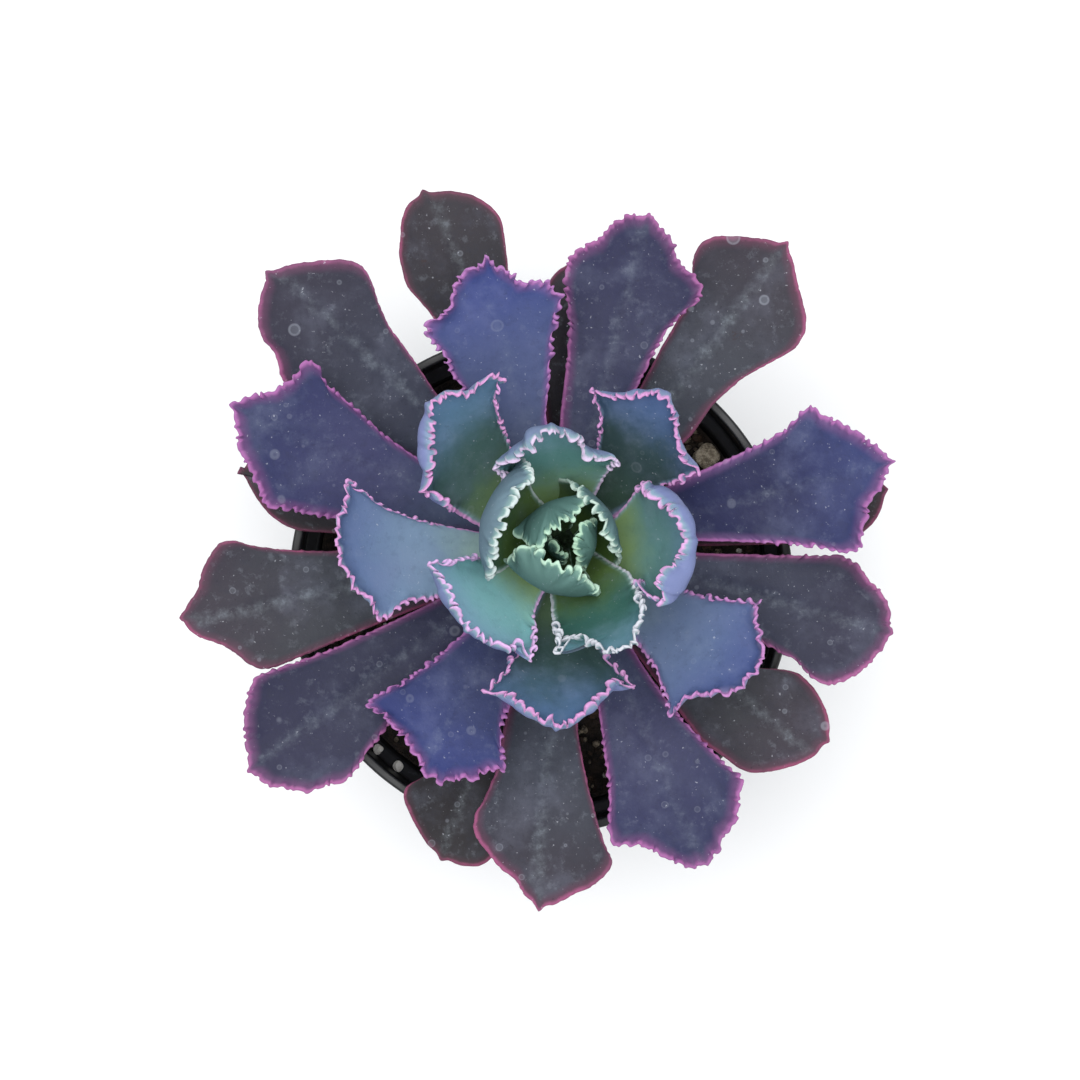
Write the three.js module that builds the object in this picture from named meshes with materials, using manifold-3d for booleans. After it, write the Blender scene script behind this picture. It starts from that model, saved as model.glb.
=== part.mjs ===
// A frilled echeveria in a round plastic nursery pot, in millimetres, +Z up.
// The origin is the middle of the pot's underside, where the pot stands on a table.
// The crown grows a little off the pot's middle. Each leaf is one solid, held off the stem by the joint gap.
import * as THREE from "three";
import { mergeVertices } from "three/addons/utils/BufferGeometryUtils.js";
import Module from "manifold-3d";

const wasm = await Module();
wasm.setup();

// ---------------------------------------------------------------- driving dimensions

const JOINT_GAP = 0.3; // clearance between any two pieces that touch

// Pot: a thin tapered tub whose top band is wider than its body
const POT_HEIGHT = 108;
const RIM_RADIUS = 65; // outside of the lip
const LIP_HEIGHT = 2.6;
const LIP_OVERHANG = 1.2; // how far the lip stands out from the band
const BAND_HEIGHT = 15;
const LEDGE_WIDTH = 3.4; // step inwards from the band to the body
const BODY_TAPER = 13; // how much narrower the body is at its foot than below the band
const WALL = 1.3;
const FOOT_RING_WIDTH = 9; // outer ring that the pot stands on
const CENTRE_PAD_RADIUS = 15; // middle pad that also stands
const DRAIN_RISE = 2.5; // height of the drainage channel between ring and pad
const DRAIN_HOLES = 8;
const DRAIN_HOLE_RADIUS = 4;
const POT_SIDES = 48;

// Soil: fills the body up to just below the ledge and heaps a little round the stem
const SOIL_BELOW_LEDGE = 2.5;
const SOIL_HEAP = 4;
const SOIL_SIDES = 36;

// Stem: short and stout, planted off the pot's middle
const CROWN_X = 5.9;
const CROWN_Y = 11;
const STEM_RADIUS = 6.5; // at the lowest leaf
const STEM_TOP_RADIUS = 0.8;
const STEM_TAPER_POWER = 1.6; // how late the stem narrows towards its top
const STEM_FLARE = 2; // extra radius at the soil
const ROOT_DEPTH = 34;
const ROOT_TIP_RADIUS = 1.5;
const STEM_SIDES = 16;
const STEM_RINGS = 6;

// Leaves: a spiral up the stem, the oldest lowest
const LOWEST_LEAF_ABOVE_RIM = -1; // height of the lowest leaf's base
const LEAF_STEP = 1.15; // rise of the stem from one leaf to the next
const LEAF_THICKNESS = 2.3; // at the midrib of a full-grown leaf's base
const FULL_REACH = 55; // how far a leaf reaches that has the full thickness
const LEAST_THICKNESS = 0.9;
const TIP_THICKNESS = 0.6; // share of the thickness that is left at the tip
const MARGIN_THICKNESS = 0.45; // share of the thickness that is left at the margin
const NECK_SHARE = 0.25; // half width at the neck, as a share of the half width at 0.6 of the length
const POINT_LENGTH = 0.9; // the little point in the middle of the end
const POINT_BASE = 1.4; // how far along the margin the little point begins
const RIB_AT_WIDEST = 0.66; // farthest share of the length where the midrib's rows reach the widest place
const MIDRIB_END = 0.94; // where the middle of the leaf's rows stops, as a share of its length
const CUP_START = 0.1; // where the sides begin to lift, as a share of the length
const CUP_END = 0.72; // where they have their whole lift
const MARGIN_ROWS = 17; // rows from the neck along the margin to the point
const FLATTEN_ROUNDS = 5;
const STRIPS = 2; // strips from the midrib to the margin
const SPINE_STEPS = 48;

// Every leaf, oldest first. axis: its heading in degrees round the crown from +X. point is the tip; left and
// right are places on the two margins from the neck towards the tip, left being the side further round. Each
// place is [degrees round the crown, distance from the crown's axis], as seen from above. lift: mean slope in
// degrees. bend: how much the slope grows from neck to tip. cup: angle of the margins to the midrib's floor.
const leafRows = [
  {
    axis: 88, point: [88, 72], lift: 4, bend: -14, cup: 14,
    left: [[98.3, 31.5], [97.4, 46.3], [97, 56.1], [95.3, 62.6], [93, 67.3], [91, 69.8], [89.2, 70.8]],
    right: [[77.7, 31.5], [78.6, 46.3], [79, 56.1], [80.7, 62.6], [83, 67.3], [85, 69.8], [86.8, 70.8]],
  },
  {
    axis: 169.2, point: [168.5, 85.5], lift: 4, bend: -14, cup: 14,
    left: [[178.2, 60.2], [178, 67.8], [177, 71.7], [175.1, 75.7], [172.3, 79.5], [169.4, 82.7], [166.6, 85.4]],
    right: [[157.3, 38.6], [158.5, 57.5], [159, 70.2], [160.6, 76.3], [163, 80.8], [165.3, 83], [167.1, 83.9]],
  },
  {
    axis: 8.8, point: [9, 84], lift: 4.5, bend: -14, cup: 14,
    left: [[19.6, 38.6], [18.4, 57.5], [18, 70.1], [16.5, 75.7], [14.3, 79.7], [12.1, 81.7], [10.3, 82.6]],
    right: [[-2.1, 38.6], [-0.9, 57.5], [-0.5, 70.1], [1, 75.7], [3.4, 79.6], [5.7, 81.7], [7.6, 82.6]],
  },
  {
    axis: 248.5, point: [248.9, 87.6], lift: 5, bend: -15, cup: 14,
    left: [[257.2, 68.4], [258.3, 77.2], [257.2, 83.3], [255.5, 86], [252.2, 87.2]],
    right: [[243.6, 63], [238.7, 71.1], [237, 74.9], [238.2, 77.8], [241.8, 81.4], [245.7, 85.2]],
  },
  {
    axis: 110.9, point: [112, 96.3], lift: 5.5, bend: -15, cup: 14,
    left: [[120.5, 66.2], [121.2, 71.2], [121.9, 76.1], [120.2, 83.9], [118.5, 87.4], [117.2, 91], [115.1, 94.4]],
    right: [[102.1, 67], [101.4, 72.8], [101.1, 78.4], [101, 83.3], [102.5, 87.4], [104.8, 90.9], [108.1, 93.7]],
  },
  {
    axis: 319, point: [322.8, 84.7], lift: 6, bend: -14, cup: 14,
    left: [[323.3, 54.9], [327.5, 60.6], [329.7, 64.9], [330.6, 68.8], [329.4, 74], [327.3, 79], [324.9, 82.8]],
    right: [[304.3, 62.1], [306.4, 68.5], [307.4, 73.2], [308.9, 76.1], [312.3, 79.3], [316.1, 82.3], [319.4, 84.2]],
  },
  {
    axis: 192.3, point: [191.4, 99.4], lift: 7, bend: -14, cup: 15,
    left: [[204.2, 51.9], [203.8, 78.8], [203.5, 82.3], [201.8, 85.4], [198.1, 88.8], [194.8, 95.8], [193.3, 98]],
    right: [[182.6, 60.2], [180.9, 79.4], [179.9, 83.2], [180.1, 87], [185, 92.2], [187.8, 93.5], [190.8, 98.2]],
  },
  {
    axis: 53.3, point: [53.2, 94.4], lift: 7.5, bend: -13, cup: 15,
    left: [[63.5, 46.6], [63.3, 56.1], [62.3, 70.9], [65.6, 78.1], [65.6, 82.3], [63.7, 85.8], [56, 91.8]],
    right: [[39.4, 41.9], [42.4, 50.8], [42.3, 61], [39.6, 75.6], [40.6, 80.2], [42.9, 83.4], [51.1, 91.8]],
  },
  {
    axis: 265.4, point: [266, 93.7], lift: 8.5, bend: -12, cup: 16,
    left: [[274.1, 49.9], [275.6, 62.7], [277.8, 78.5], [278.8, 81.7], [277.1, 84.9], [274.7, 87.3], [268.3, 92]],
    right: [[252, 49.7], [253.4, 60.6], [251.7, 72.9], [252.6, 77.2], [258.9, 84.3], [261.9, 86.3], [263.5, 90.1]],
  },
  {
    axis: 136.8, point: [138, 101], lift: 9.5, bend: -11, cup: 16,
    left: [[151.1, 76.6], [150.5, 81.7], [147, 86.8], [146.6, 90.8], [145, 93.9], [142.8, 96.5], [140.4, 98.5]],
    right: [[131.1, 49.4], [129.3, 69.9], [126.6, 80.8], [126.2, 85.4], [127.8, 89.3], [133.8, 96.5], [136.4, 99.1]],
  },
  {
    axis: 344, point: [344.2, 85.6], lift: 11, bend: -10, cup: 17,
    left: [[354.7, 35], [356.5, 60], [357, 69.5], [355.6, 73.8], [352.9, 76.6], [350.7, 80.8], [347.9, 83.8]],
    right: [[332.4, 49.2], [332.4, 66], [330.5, 72.1], [331.6, 76.4], [334.5, 80], [338, 82.6], [341.7, 84.7]],
  },
  {
    axis: 215.8, point: [216.1, 98], lift: 12, bend: -8, cup: 18,
    left: [[226, 58.1], [227.2, 72.9], [228, 79.5], [227.7, 81.9], [225.8, 85.1], [224.9, 89.3], [219.1, 96.5]],
    right: [[205.1, 37.8], [204.9, 65.3], [203.6, 83.5], [204.3, 86.4], [208.3, 91], [212.1, 94.2], [214.7, 95.8]],
  },
  {
    axis: 75.8, point: [75.4, 84.4], lift: 13, bend: -6, cup: 19,
    left: [[91.8, 31.9], [89, 56.7], [90.2, 67.1], [88.8, 71.7], [83.2, 76.1], [81.8, 79.9], [78.7, 83.3]],
    right: [[64.5, 43.6], [63.2, 61.9], [60.6, 68.4], [60.8, 71.6], [67.2, 74.7], [69.9, 79.5], [72.8, 81.7]],
  },
  {
    axis: 292.9, point: [293.8, 88.2], lift: 14.5, bend: -4, cup: 20,
    left: [[302, 36.5], [302.8, 50.5], [305.9, 68.9], [306.9, 73.8], [301, 82.5], [298, 83.4], [296.8, 86.3]],
    right: [[281.4, 42.6], [280, 63.7], [278.3, 73.3], [279, 77.1], [284.1, 78], [288, 83.8], [291, 87.6]],
  },
  {
    axis: 159, point: [158, 89.6], lift: 16, bend: -2, cup: 21,
    left: [[164.3, 40.5], [170.5, 49.5], [173.3, 59], [173.9, 68.7], [173.6, 74.8], [163.8, 84.4], [160.8, 86.5]],
    right: [[150.6, 43.5], [146.5, 71.4], [144.3, 75.2], [144.8, 77.7], [149.2, 78.6], [153.1, 81.6], [156.1, 87.4]],
  },
  {
    axis: 13.2, point: [13.5, 84], lift: 17.5, bend: 1, cup: 22,
    left: [[27.5, 33.3], [26.9, 62.1], [28.9, 67.3], [29, 69.6], [26.1, 71.1], [18.3, 79.4], [15.5, 81.8]],
    right: [[-0.3, 32.1], [-1.4, 59.2], [-2.9, 70.9], [-1.7, 73], [6.7, 75.6], [9.1, 79.4], [12.3, 81.7]],
  },
  {
    axis: 237.2, point: [239.2, 68.3], lift: 21, bend: 10, cup: 24,
    left: [[250.9, 39.7], [251.5, 48.5], [256, 59.1], [252.7, 59.6], [250.3, 62.6], [245.7, 65.1], [243.1, 68.2]],
    right: [[222.4, 37.1], [221.9, 46.5], [220.4, 54.9], [218.5, 63.8], [222.3, 63.4], [228.8, 63], [234.7, 65.4]],
  },
  {
    axis: 107.7, point: [105.4, 73.2], lift: 22, bend: 8, cup: 24,
    left: [[125.2, 43], [123.7, 56.6], [124.5, 61.7], [121.1, 63.8], [115.9, 65.6], [114, 68.7], [110.4, 71.5]],
    right: [[98.6, 32], [92.7, 52.3], [90, 61], [96.3, 64.6], [99.6, 64.6], [100.9, 67.5], [104, 69.7]],
  },
  {
    axis: 321.7, point: [325.5, 58.8], lift: 27, bend: 12, cup: 26,
    left: [[337.2, 29], [338.1, 36.8], [341.3, 46.2], [343.7, 50.1], [339, 51.5], [334.5, 54.2], [331.6, 57.7]],
    right: [[304.8, 33.5], [304.7, 40], [302.7, 45.7], [299.7, 51.5], [307, 49.8], [313.6, 54.1], [320.3, 57.9]],
  },
  {
    axis: 183.9, point: [179.9, 57.6], lift: 29, bend: 13, cup: 27,
    left: [[200.2, 25.3], [204.9, 34.3], [202.1, 44], [204.2, 49.8], [198.3, 51.7], [191.9, 54.5], [186.4, 56.8]],
    right: [[174.3, 21.4], [172.6, 33.9], [169.7, 45.1], [163.7, 56.5], [169.1, 55.1], [173, 57.1], [176, 58]],
  },
  {
    axis: 53.6, point: [54.3, 45], lift: 35, bend: 16, cup: 29,
    left: [[70.5, 24], [73.3, 31.2], [75.2, 35.8], [82.1, 39.2], [73.3, 39.3], [63.9, 42.2], [58.8, 45]],
    right: [[28, 21.6], [28, 30.4], [27.1, 34.9], [25.7, 38.7], [34.1, 37.4], [42.8, 39.8], [49.7, 42.3]],
  },
  {
    axis: 268.5, point: [267.1, 47.4], lift: 38, bend: 16, cup: 30,
    left: [[288.5, 28.2], [290.7, 33.6], [296.4, 40.6], [289.9, 38.8], [280.4, 43.1], [274.3, 45.9]],
    right: [[246.2, 31.7], [245.4, 37.6], [240.8, 42.2], [248.9, 43], [257.9, 44.9], [262.9, 46.3]],
  },
  {
    axis: 136.8, point: [135.7, 48.4], lift: 39.5, bend: 18, cup: 32,
    left: [[172.5, 20], [164.8, 30.5], [163, 39.6], [156.4, 39.9], [150.3, 42], [142, 45.4]],
    right: [[120.4, 25.6], [118.9, 31.2], [116.5, 40.4], [109.8, 43], [113.6, 44.8], [122.3, 44.8], [129.4, 48.1]],
  },
  {
    axis: 2.5, point: [-0.3, 32.4], lift: 48, bend: 42, cup: 40,
    left: [[23, 13.2], [30.1, 17.7], [36.4, 23.1], [35.7, 27.5], [27.3, 29.9], [16.9, 31.3], [8, 32.1]],
    right: [[-33.1, 22.5], [-34.1, 27], [-35.6, 30], [-33.6, 32.7], [-26.4, 32.5], [-18, 32.7], [-8.4, 32.6]],
  },
  {
    axis: 222.2, point: [222, 34], lift: 44, bend: 26, cup: 36,
    left: [[247, 20], [252, 25.4], [255, 31.4], [248.2, 29.5], [239.9, 32.6], [230.3, 33.4]],
    right: [[193.5, 17.9], [190.1, 25.2], [189.9, 31.3], [189.7, 36.2], [198.6, 34.8], [205.9, 35], [214.3, 35.1]],
  },
  {
    axis: 95.2, point: [97.1, 29.2], lift: 52, bend: 42, cup: 44,
    left: [[134.1, 17.4], [134.3, 21.4], [135.2, 25.7], [125.9, 26.4], [116.9, 27.2], [108.9, 28.9]],
    right: [[56.7, 15.1], [57.9, 19.1], [56.1, 24.5], [68.2, 23.8], [77.6, 25], [85.9, 27.5]],
  },
  {
    axis: 298.8, point: [294.1, 30.8], lift: 57, bend: 24, cup: 42,
    left: [[333.8, 17.8], [326.2, 22], [318.9, 26.5], [309.7, 28.9], [303.4, 30.3]],
    right: [[254, 13.5], [260, 19], [264.5, 27], [268.9, 24.6], [279.2, 24.7], [286.5, 28.3]],
  },
  {
    axis: 169.5, point: [172, 19.5], lift: 62, bend: 62, cup: 52,
    left: [[209.4, 14.3], [212.2, 17.4], [216, 18], [209.6, 18], [197.3, 18.8], [185.9, 19.3], [177.1, 19.4]],
    right: [[129.6, 14.3], [126.8, 17.4], [123, 18], [130, 18], [143.6, 18.9], [156.4, 19.4], [166.3, 19.5]],
  },
  {
    axis: 38, point: [38, 14], lift: 64, bend: 50, cup: 52,
    left: [[80.2, 10.6], [84.1, 12.7], [88.4, 13.1], [81.4, 13], [67.2, 13.5], [54, 13.8], [43.9, 13.9]],
    right: [[-4.2, 10.6], [-8.1, 12.7], [-12.4, 13.1], [-5.4, 13], [8.8, 13.5], [22, 13.8], [32.1, 13.9]],
  },
  {
    axis: 261, point: [262, 12.6], lift: 65, bend: 46, cup: 52,
    left: [[302.2, 9.3], [306, 11.2], [310.2, 11.6], [303.2, 11.5], [289.6, 12.1], [277.1, 12.4], [267.5, 12.5]],
    right: [[219.8, 9.3], [216, 11.2], [211.8, 11.6], [219, 11.5], [233.2, 12.1], [246.2, 12.4], [256.2, 12.5]],
  },
  {
    axis: 131, point: [130, 8.4], lift: 70, bend: 40, cup: 52,
    left: [[171.5, 6.6], [176.5, 7.8], [181.4, 8], [174.3, 7.9], [159.2, 8.2], [145.5, 8.3], [135.3, 8.4]],
    right: [[90.5, 6.6], [85.5, 7.8], [80.6, 8], [87.5, 7.9], [101.9, 8.2], [115.2, 8.3], [124.9, 8.4]],
  },
  {
    axis: 353, point: [352, 5.6], lift: 73, bend: 34, cup: 50,
    left: [[389.9, 4.5], [395.5, 5.2], [400.4, 5.3], [393.5, 5.2], [378.8, 5.5], [365.6, 5.6], [356.4, 5.6]],
    right: [[316.1, 4.5], [310.5, 5.2], [305.6, 5.3], [312.2, 5.2], [326.4, 5.4], [339, 5.6], [347.8, 5.6]],
  },
  {
    axis: 214, point: [214, 3.8], lift: 76, bend: 24, cup: 46,
    left: [[250.1, 3.2], [256.8, 3.6], [262.1, 3.7], [255.3, 3.6], [240, 3.7], [226.6, 3.8], [217.7, 3.8]],
    right: [[177.9, 3.2], [171.2, 3.6], [165.9, 3.7], [172.7, 3.6], [188, 3.7], [201.4, 3.8], [210.3, 3.8]],
  },
];

// Stones on the soil and the ledge: middle, size along x, y and z, turn about z in degrees. A ledge stone keeps
// its distance from the lip: its middle is given for a lip of this radius, and moves out or in with the lip.
const LEDGE_STONE_LIP = 65;
const stoneRows = [
  { name: "pumice_1", x: 43.4, y: 33, size: [7, 6.2, 5.6], turn: 25, onLedge: false },
  { name: "perlite_1", x: -42.6, y: -43.6, size: [2.9, 2.3, 2.2], turn: 40, onLedge: true },
  { name: "perlite_2", x: -37.4, y: -48.1, size: [2.6, 3, 2.1], turn: 10, onLedge: true },
];
const STONE_ROUGHNESS = 0.14; // how far a stone's corners stand in or out, as a share of its size

const colours = {
  pot: 0x17191c,
  soil: 0x2b2119,
  stem: 0x6b5a45,
  pumice: 0x9a9080,
  perlite: 0xdad7cd,
  oldLeaf: 0x4a3f49,
  midLeaf: 0x6a80b0,
  heartLeaf: 0x5f9c8a,
};

// ---------------------------------------------------------------- sizes that follow from those above

const ledgeZ = POT_HEIGHT - BAND_HEIGHT;
const bandRadius = RIM_RADIUS - LIP_OVERHANG;
const bodyTopRadius = bandRadius - LEDGE_WIDTH;
const footRadius = bodyTopRadius - BODY_TAPER;
const soilTop = ledgeZ - SOIL_BELOW_LEDGE;
const firstLeafZ = POT_HEIGHT + LOWEST_LEAF_ABOVE_RIM;
const lastLeafZ = firstLeafZ + LEAF_STEP * (leafRows.length - 1);
const DEG = Math.PI / 180;

const wallRadius = (z) => footRadius + (BODY_TAPER * z) / ledgeZ;

// Radius of the stem at height z: flared at the soil, even up to the leaves, then ever narrower
function stemRadius(z) {
  if (z < firstLeafZ) {
    const down = (firstLeafZ - z) / (firstLeafZ - soilTop);
    return STEM_RADIUS + STEM_FLARE * down * down;
  }
  const up = Math.min(1, (z - firstLeafZ) / (lastLeafZ - firstLeafZ));
  return STEM_RADIUS + (STEM_TOP_RADIUS - STEM_RADIUS) * Math.pow(up, STEM_TAPER_POWER);
}

// ---------------------------------------------------------------- helpers

// A THREE geometry as a manifold-3d solid
function solidOf(geometry) {
  const plain = new THREE.BufferGeometry();
  plain.setAttribute("position", geometry.getAttribute("position"));
  if (geometry.index) plain.setIndex(geometry.index);
  const merged = mergeVertices(plain, 1e-4);
  return new wasm.Manifold(
    new wasm.Mesh({
      numProp: 3,
      vertProperties: new Float32Array(merged.attributes.position.array),
      triVerts: new Uint32Array(merged.index.array),
    }),
  );
}

// A manifold-3d solid as a THREE geometry
function geometryOf(solid) {
  const mesh = solid.getMesh();
  const geometry = new THREE.BufferGeometry();
  geometry.setAttribute("position", new THREE.BufferAttribute(mesh.vertProperties, 3));
  geometry.setIndex(new THREE.BufferAttribute(mesh.triVerts, 1));
  geometry.computeVertexNormals();
  return geometry;
}

// Turns a profile of [radius, height] pairs, listed upwards on the outside, round the z axis
function turned(profile, sides) {
  const points = profile.map(([r, z]) => new THREE.Vector2(r, z));
  return new THREE.LatheGeometry(points, sides).rotateX(Math.PI / 2);
}

const part = new THREE.Group();

function addPiece(name, geometry, colour, roughness) {
  const material = new THREE.MeshStandardMaterial({ color: colour, roughness, metalness: 0 });
  const mesh = new THREE.Mesh(geometry, material);
  mesh.name = name;
  part.add(mesh);
  return mesh;
}

// ---------------------------------------------------------------- pot

// The floor's line from the axis outwards, raised by lift: pad, drainage channel, foot ring
function floorLine(lift) {
  const ringInner = footRadius - FOOT_RING_WIDTH;
  return [
    [0, lift],
    [CENTRE_PAD_RADIUS, lift],
    [CENTRE_PAD_RADIUS + DRAIN_RISE, DRAIN_RISE + lift],
    [ringInner - DRAIN_RISE, DRAIN_RISE + lift],
    [ringInner, lift],
  ];
}

function potSolid() {
  const outside = [
    ...floorLine(0),
    [footRadius, 0],
    [bodyTopRadius, ledgeZ - WALL],
    [bandRadius, ledgeZ],
    [bandRadius, POT_HEIGHT - LIP_HEIGHT],
    [RIM_RADIUS, POT_HEIGHT - LIP_HEIGHT],
    [RIM_RADIUS, POT_HEIGHT - WALL / 2],
    [RIM_RADIUS - WALL / 2, POT_HEIGHT],
  ];
  const inside = [
    ...floorLine(WALL),
    [wallRadius(WALL) - WALL, WALL],
    [bodyTopRadius - WALL, ledgeZ],
    [bandRadius - WALL, ledgeZ + WALL],
    [bandRadius - WALL, POT_HEIGHT - WALL / 2],
    [bandRadius - WALL / 2, POT_HEIGHT],
  ];
  let pot = solidOf(turned([...outside, ...inside.reverse()], POT_SIDES));
  const channelMiddle = (CENTRE_PAD_RADIUS + footRadius - FOOT_RING_WIDTH) / 2;
  for (let i = 0; i < DRAIN_HOLES; i++) {
    const angle = (i * 2 * Math.PI) / DRAIN_HOLES;
    const cutter = new THREE.CylinderGeometry(DRAIN_HOLE_RADIUS, DRAIN_HOLE_RADIUS, 4 * DRAIN_RISE, 16);
    cutter.rotateX(Math.PI / 2);
    cutter.translate(channelMiddle * Math.cos(angle), channelMiddle * Math.sin(angle), DRAIN_RISE);
    pot = pot.subtract(solidOf(cutter));
  }
  return pot;
}

addPiece("pot", geometryOf(potSolid()), colours.pot, 0.5);

// ---------------------------------------------------------------- stem and soil

// The stem's line from the root tip to the top, made fatter by more all round
function stemGeometry(more) {
  const profile = [[0, soilTop - ROOT_DEPTH - more]];
  profile.push([ROOT_TIP_RADIUS + more, soilTop - ROOT_DEPTH - more]);
  profile.push([stemRadius(soilTop) + more, soilTop]);
  profile.push([(stemRadius(soilTop) + STEM_RADIUS) / 2 + more, (soilTop + firstLeafZ) / 2]);
  for (let i = 0; i <= STEM_RINGS; i++) {
    const z = firstLeafZ + ((lastLeafZ - firstLeafZ) * i) / STEM_RINGS;
    profile.push([stemRadius(z) + more, z]);
  }
  profile.push([0, lastLeafZ + STEM_TOP_RADIUS]);
  return turned(profile, STEM_SIDES).translate(CROWN_X, CROWN_Y, 0);
}

function soilSolid() {
  const clear = WALL + JOINT_GAP;
  const edge = wallRadius(soilTop) - clear;
  const profile = [
    ...floorLine(clear),
    [wallRadius(clear) - clear, clear],
    [edge, soilTop],
    [0.6 * edge, soilTop + 0.5 * SOIL_HEAP],
    [0, soilTop + SOIL_HEAP],
  ];
  return solidOf(turned(profile, SOIL_SIDES)).subtract(solidOf(stemGeometry(JOINT_GAP)));
}

addPiece("soil", geometryOf(soilSolid()), colours.soil, 0.95);
addPiece("stem", geometryOf(solidOf(stemGeometry(0))), colours.stem, 0.85);

// ---------------------------------------------------------------- leaves

// Length run along a line of points, up to each of them
function runOf(line) {
  const run = [0];
  for (let i = 1; i < line.length; i++) {
    run.push(run[i - 1] + Math.hypot(line[i][0] - line[i - 1][0], line[i][1] - line[i - 1][1]));
  }
  return run;
}

// The point of a line at a distance along it
function pointAt(line, run, distance) {
  let i = 1;
  while (i < line.length - 1 && run[i] < distance) i++;
  const share = (distance - run[i - 1]) / (run[i] - run[i - 1]);
  return [0, 1].map((k) => line[i - 1][k] + (line[i][k] - line[i - 1][k]) * share);
}

// The rows of one half of a flat leaf, each the margin's point and the midrib's point beside it as
// [along, across]: even steps along the margin from the neck, then the base and the end of the little point
function halfRows(places, length, tipAcross) {
  const neckSpread = NECK_SHARE / Math.max(0.45, Math.min(1, places[0][0] / (0.6 * length)));
  const line = [[0, places[0][1] * neckSpread], ...places, [length - POINT_LENGTH, tipAcross]];
  const run = runOf(line);
  const total = run[run.length - 1];
  const margin = [];
  for (let r = 0; r < MARGIN_ROWS - 1; r++) {
    margin.push(pointAt(line, run, ((total - POINT_BASE) * r) / (MARGIN_ROWS - 2)));
  }
  margin.push([length, tipAcross]);
  const widest = margin.reduce((best, p, i) => (Math.abs(p[1]) > Math.abs(margin[best][1]) ? i : best), 0);
  const ribWidest = Math.min(0.85 * margin[widest][0], RIB_AT_WIDEST * length);
  return margin.map((edge, r) => {
    const past = (r - widest) / (MARGIN_ROWS - 1 - widest);
    const rib = r < widest ? (ribWidest * r) / widest : ribWidest + (MIDRIB_END * length - ribWidest) * past;
    return { edge, rib: [rib, tipAcross * (rib / length) ** 2] };
  });
}

// The spine of a leaf whose slope grows evenly from neck to tip, as distances out and up for a length of 1
function unitSpine(lift, bend) {
  const spine = [{ out: 0, up: 0, slope: (lift - bend / 2) * DEG }];
  for (let i = 1; i <= SPINE_STEPS; i++) {
    const last = spine[i - 1];
    const slope = (lift + bend * (i / SPINE_STEPS - 0.5)) * DEG;
    const mean = (slope + last.slope) / 2;
    spine.push({ out: last.out + Math.cos(mean) / SPINE_STEPS, up: last.up + Math.sin(mean) / SPINE_STEPS, slope });
  }
  return spine;
}

function spineAt(spine, share) {
  const place = Math.min(share, 1) * SPINE_STEPS;
  const i = Math.min(Math.floor(place), SPINE_STEPS - 1);
  const f = place - i;
  const a = spine[i];
  const b = spine[i + 1];
  return {
    out: a.out + (b.out - a.out) * f,
    up: a.up + (b.up - a.up) * f,
    slope: a.slope + (b.slope - a.slope) * f,
  };
}

// How far along a spine of the given length it first lies this far out
function shareAtOut(spine, length, out) {
  const i = spine.findIndex((p) => p.out * length >= out);
  if (i < 1) return i < 0 ? 1 : 0;
  const step = (spine[i].out - spine[i - 1].out) * length;
  return (i - 1 + (out - spine[i - 1].out * length) / step) / SPINE_STEPS;
}

// A place given as [degrees, distance], as [outwards, sideways] from a leaf's own axis
function inLeafAxis([degrees, distance], axis) {
  return [distance * Math.cos(degrees * DEG - axis), distance * Math.sin(degrees * DEG - axis)];
}

// Angle of the cup at a share of the length
function cupAt(wholeCup, share) {
  const grown = Math.min(1, Math.max(0, share - CUP_START) / (CUP_END - CUP_START));
  return wholeCup * grown + 1e-4;
}

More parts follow.
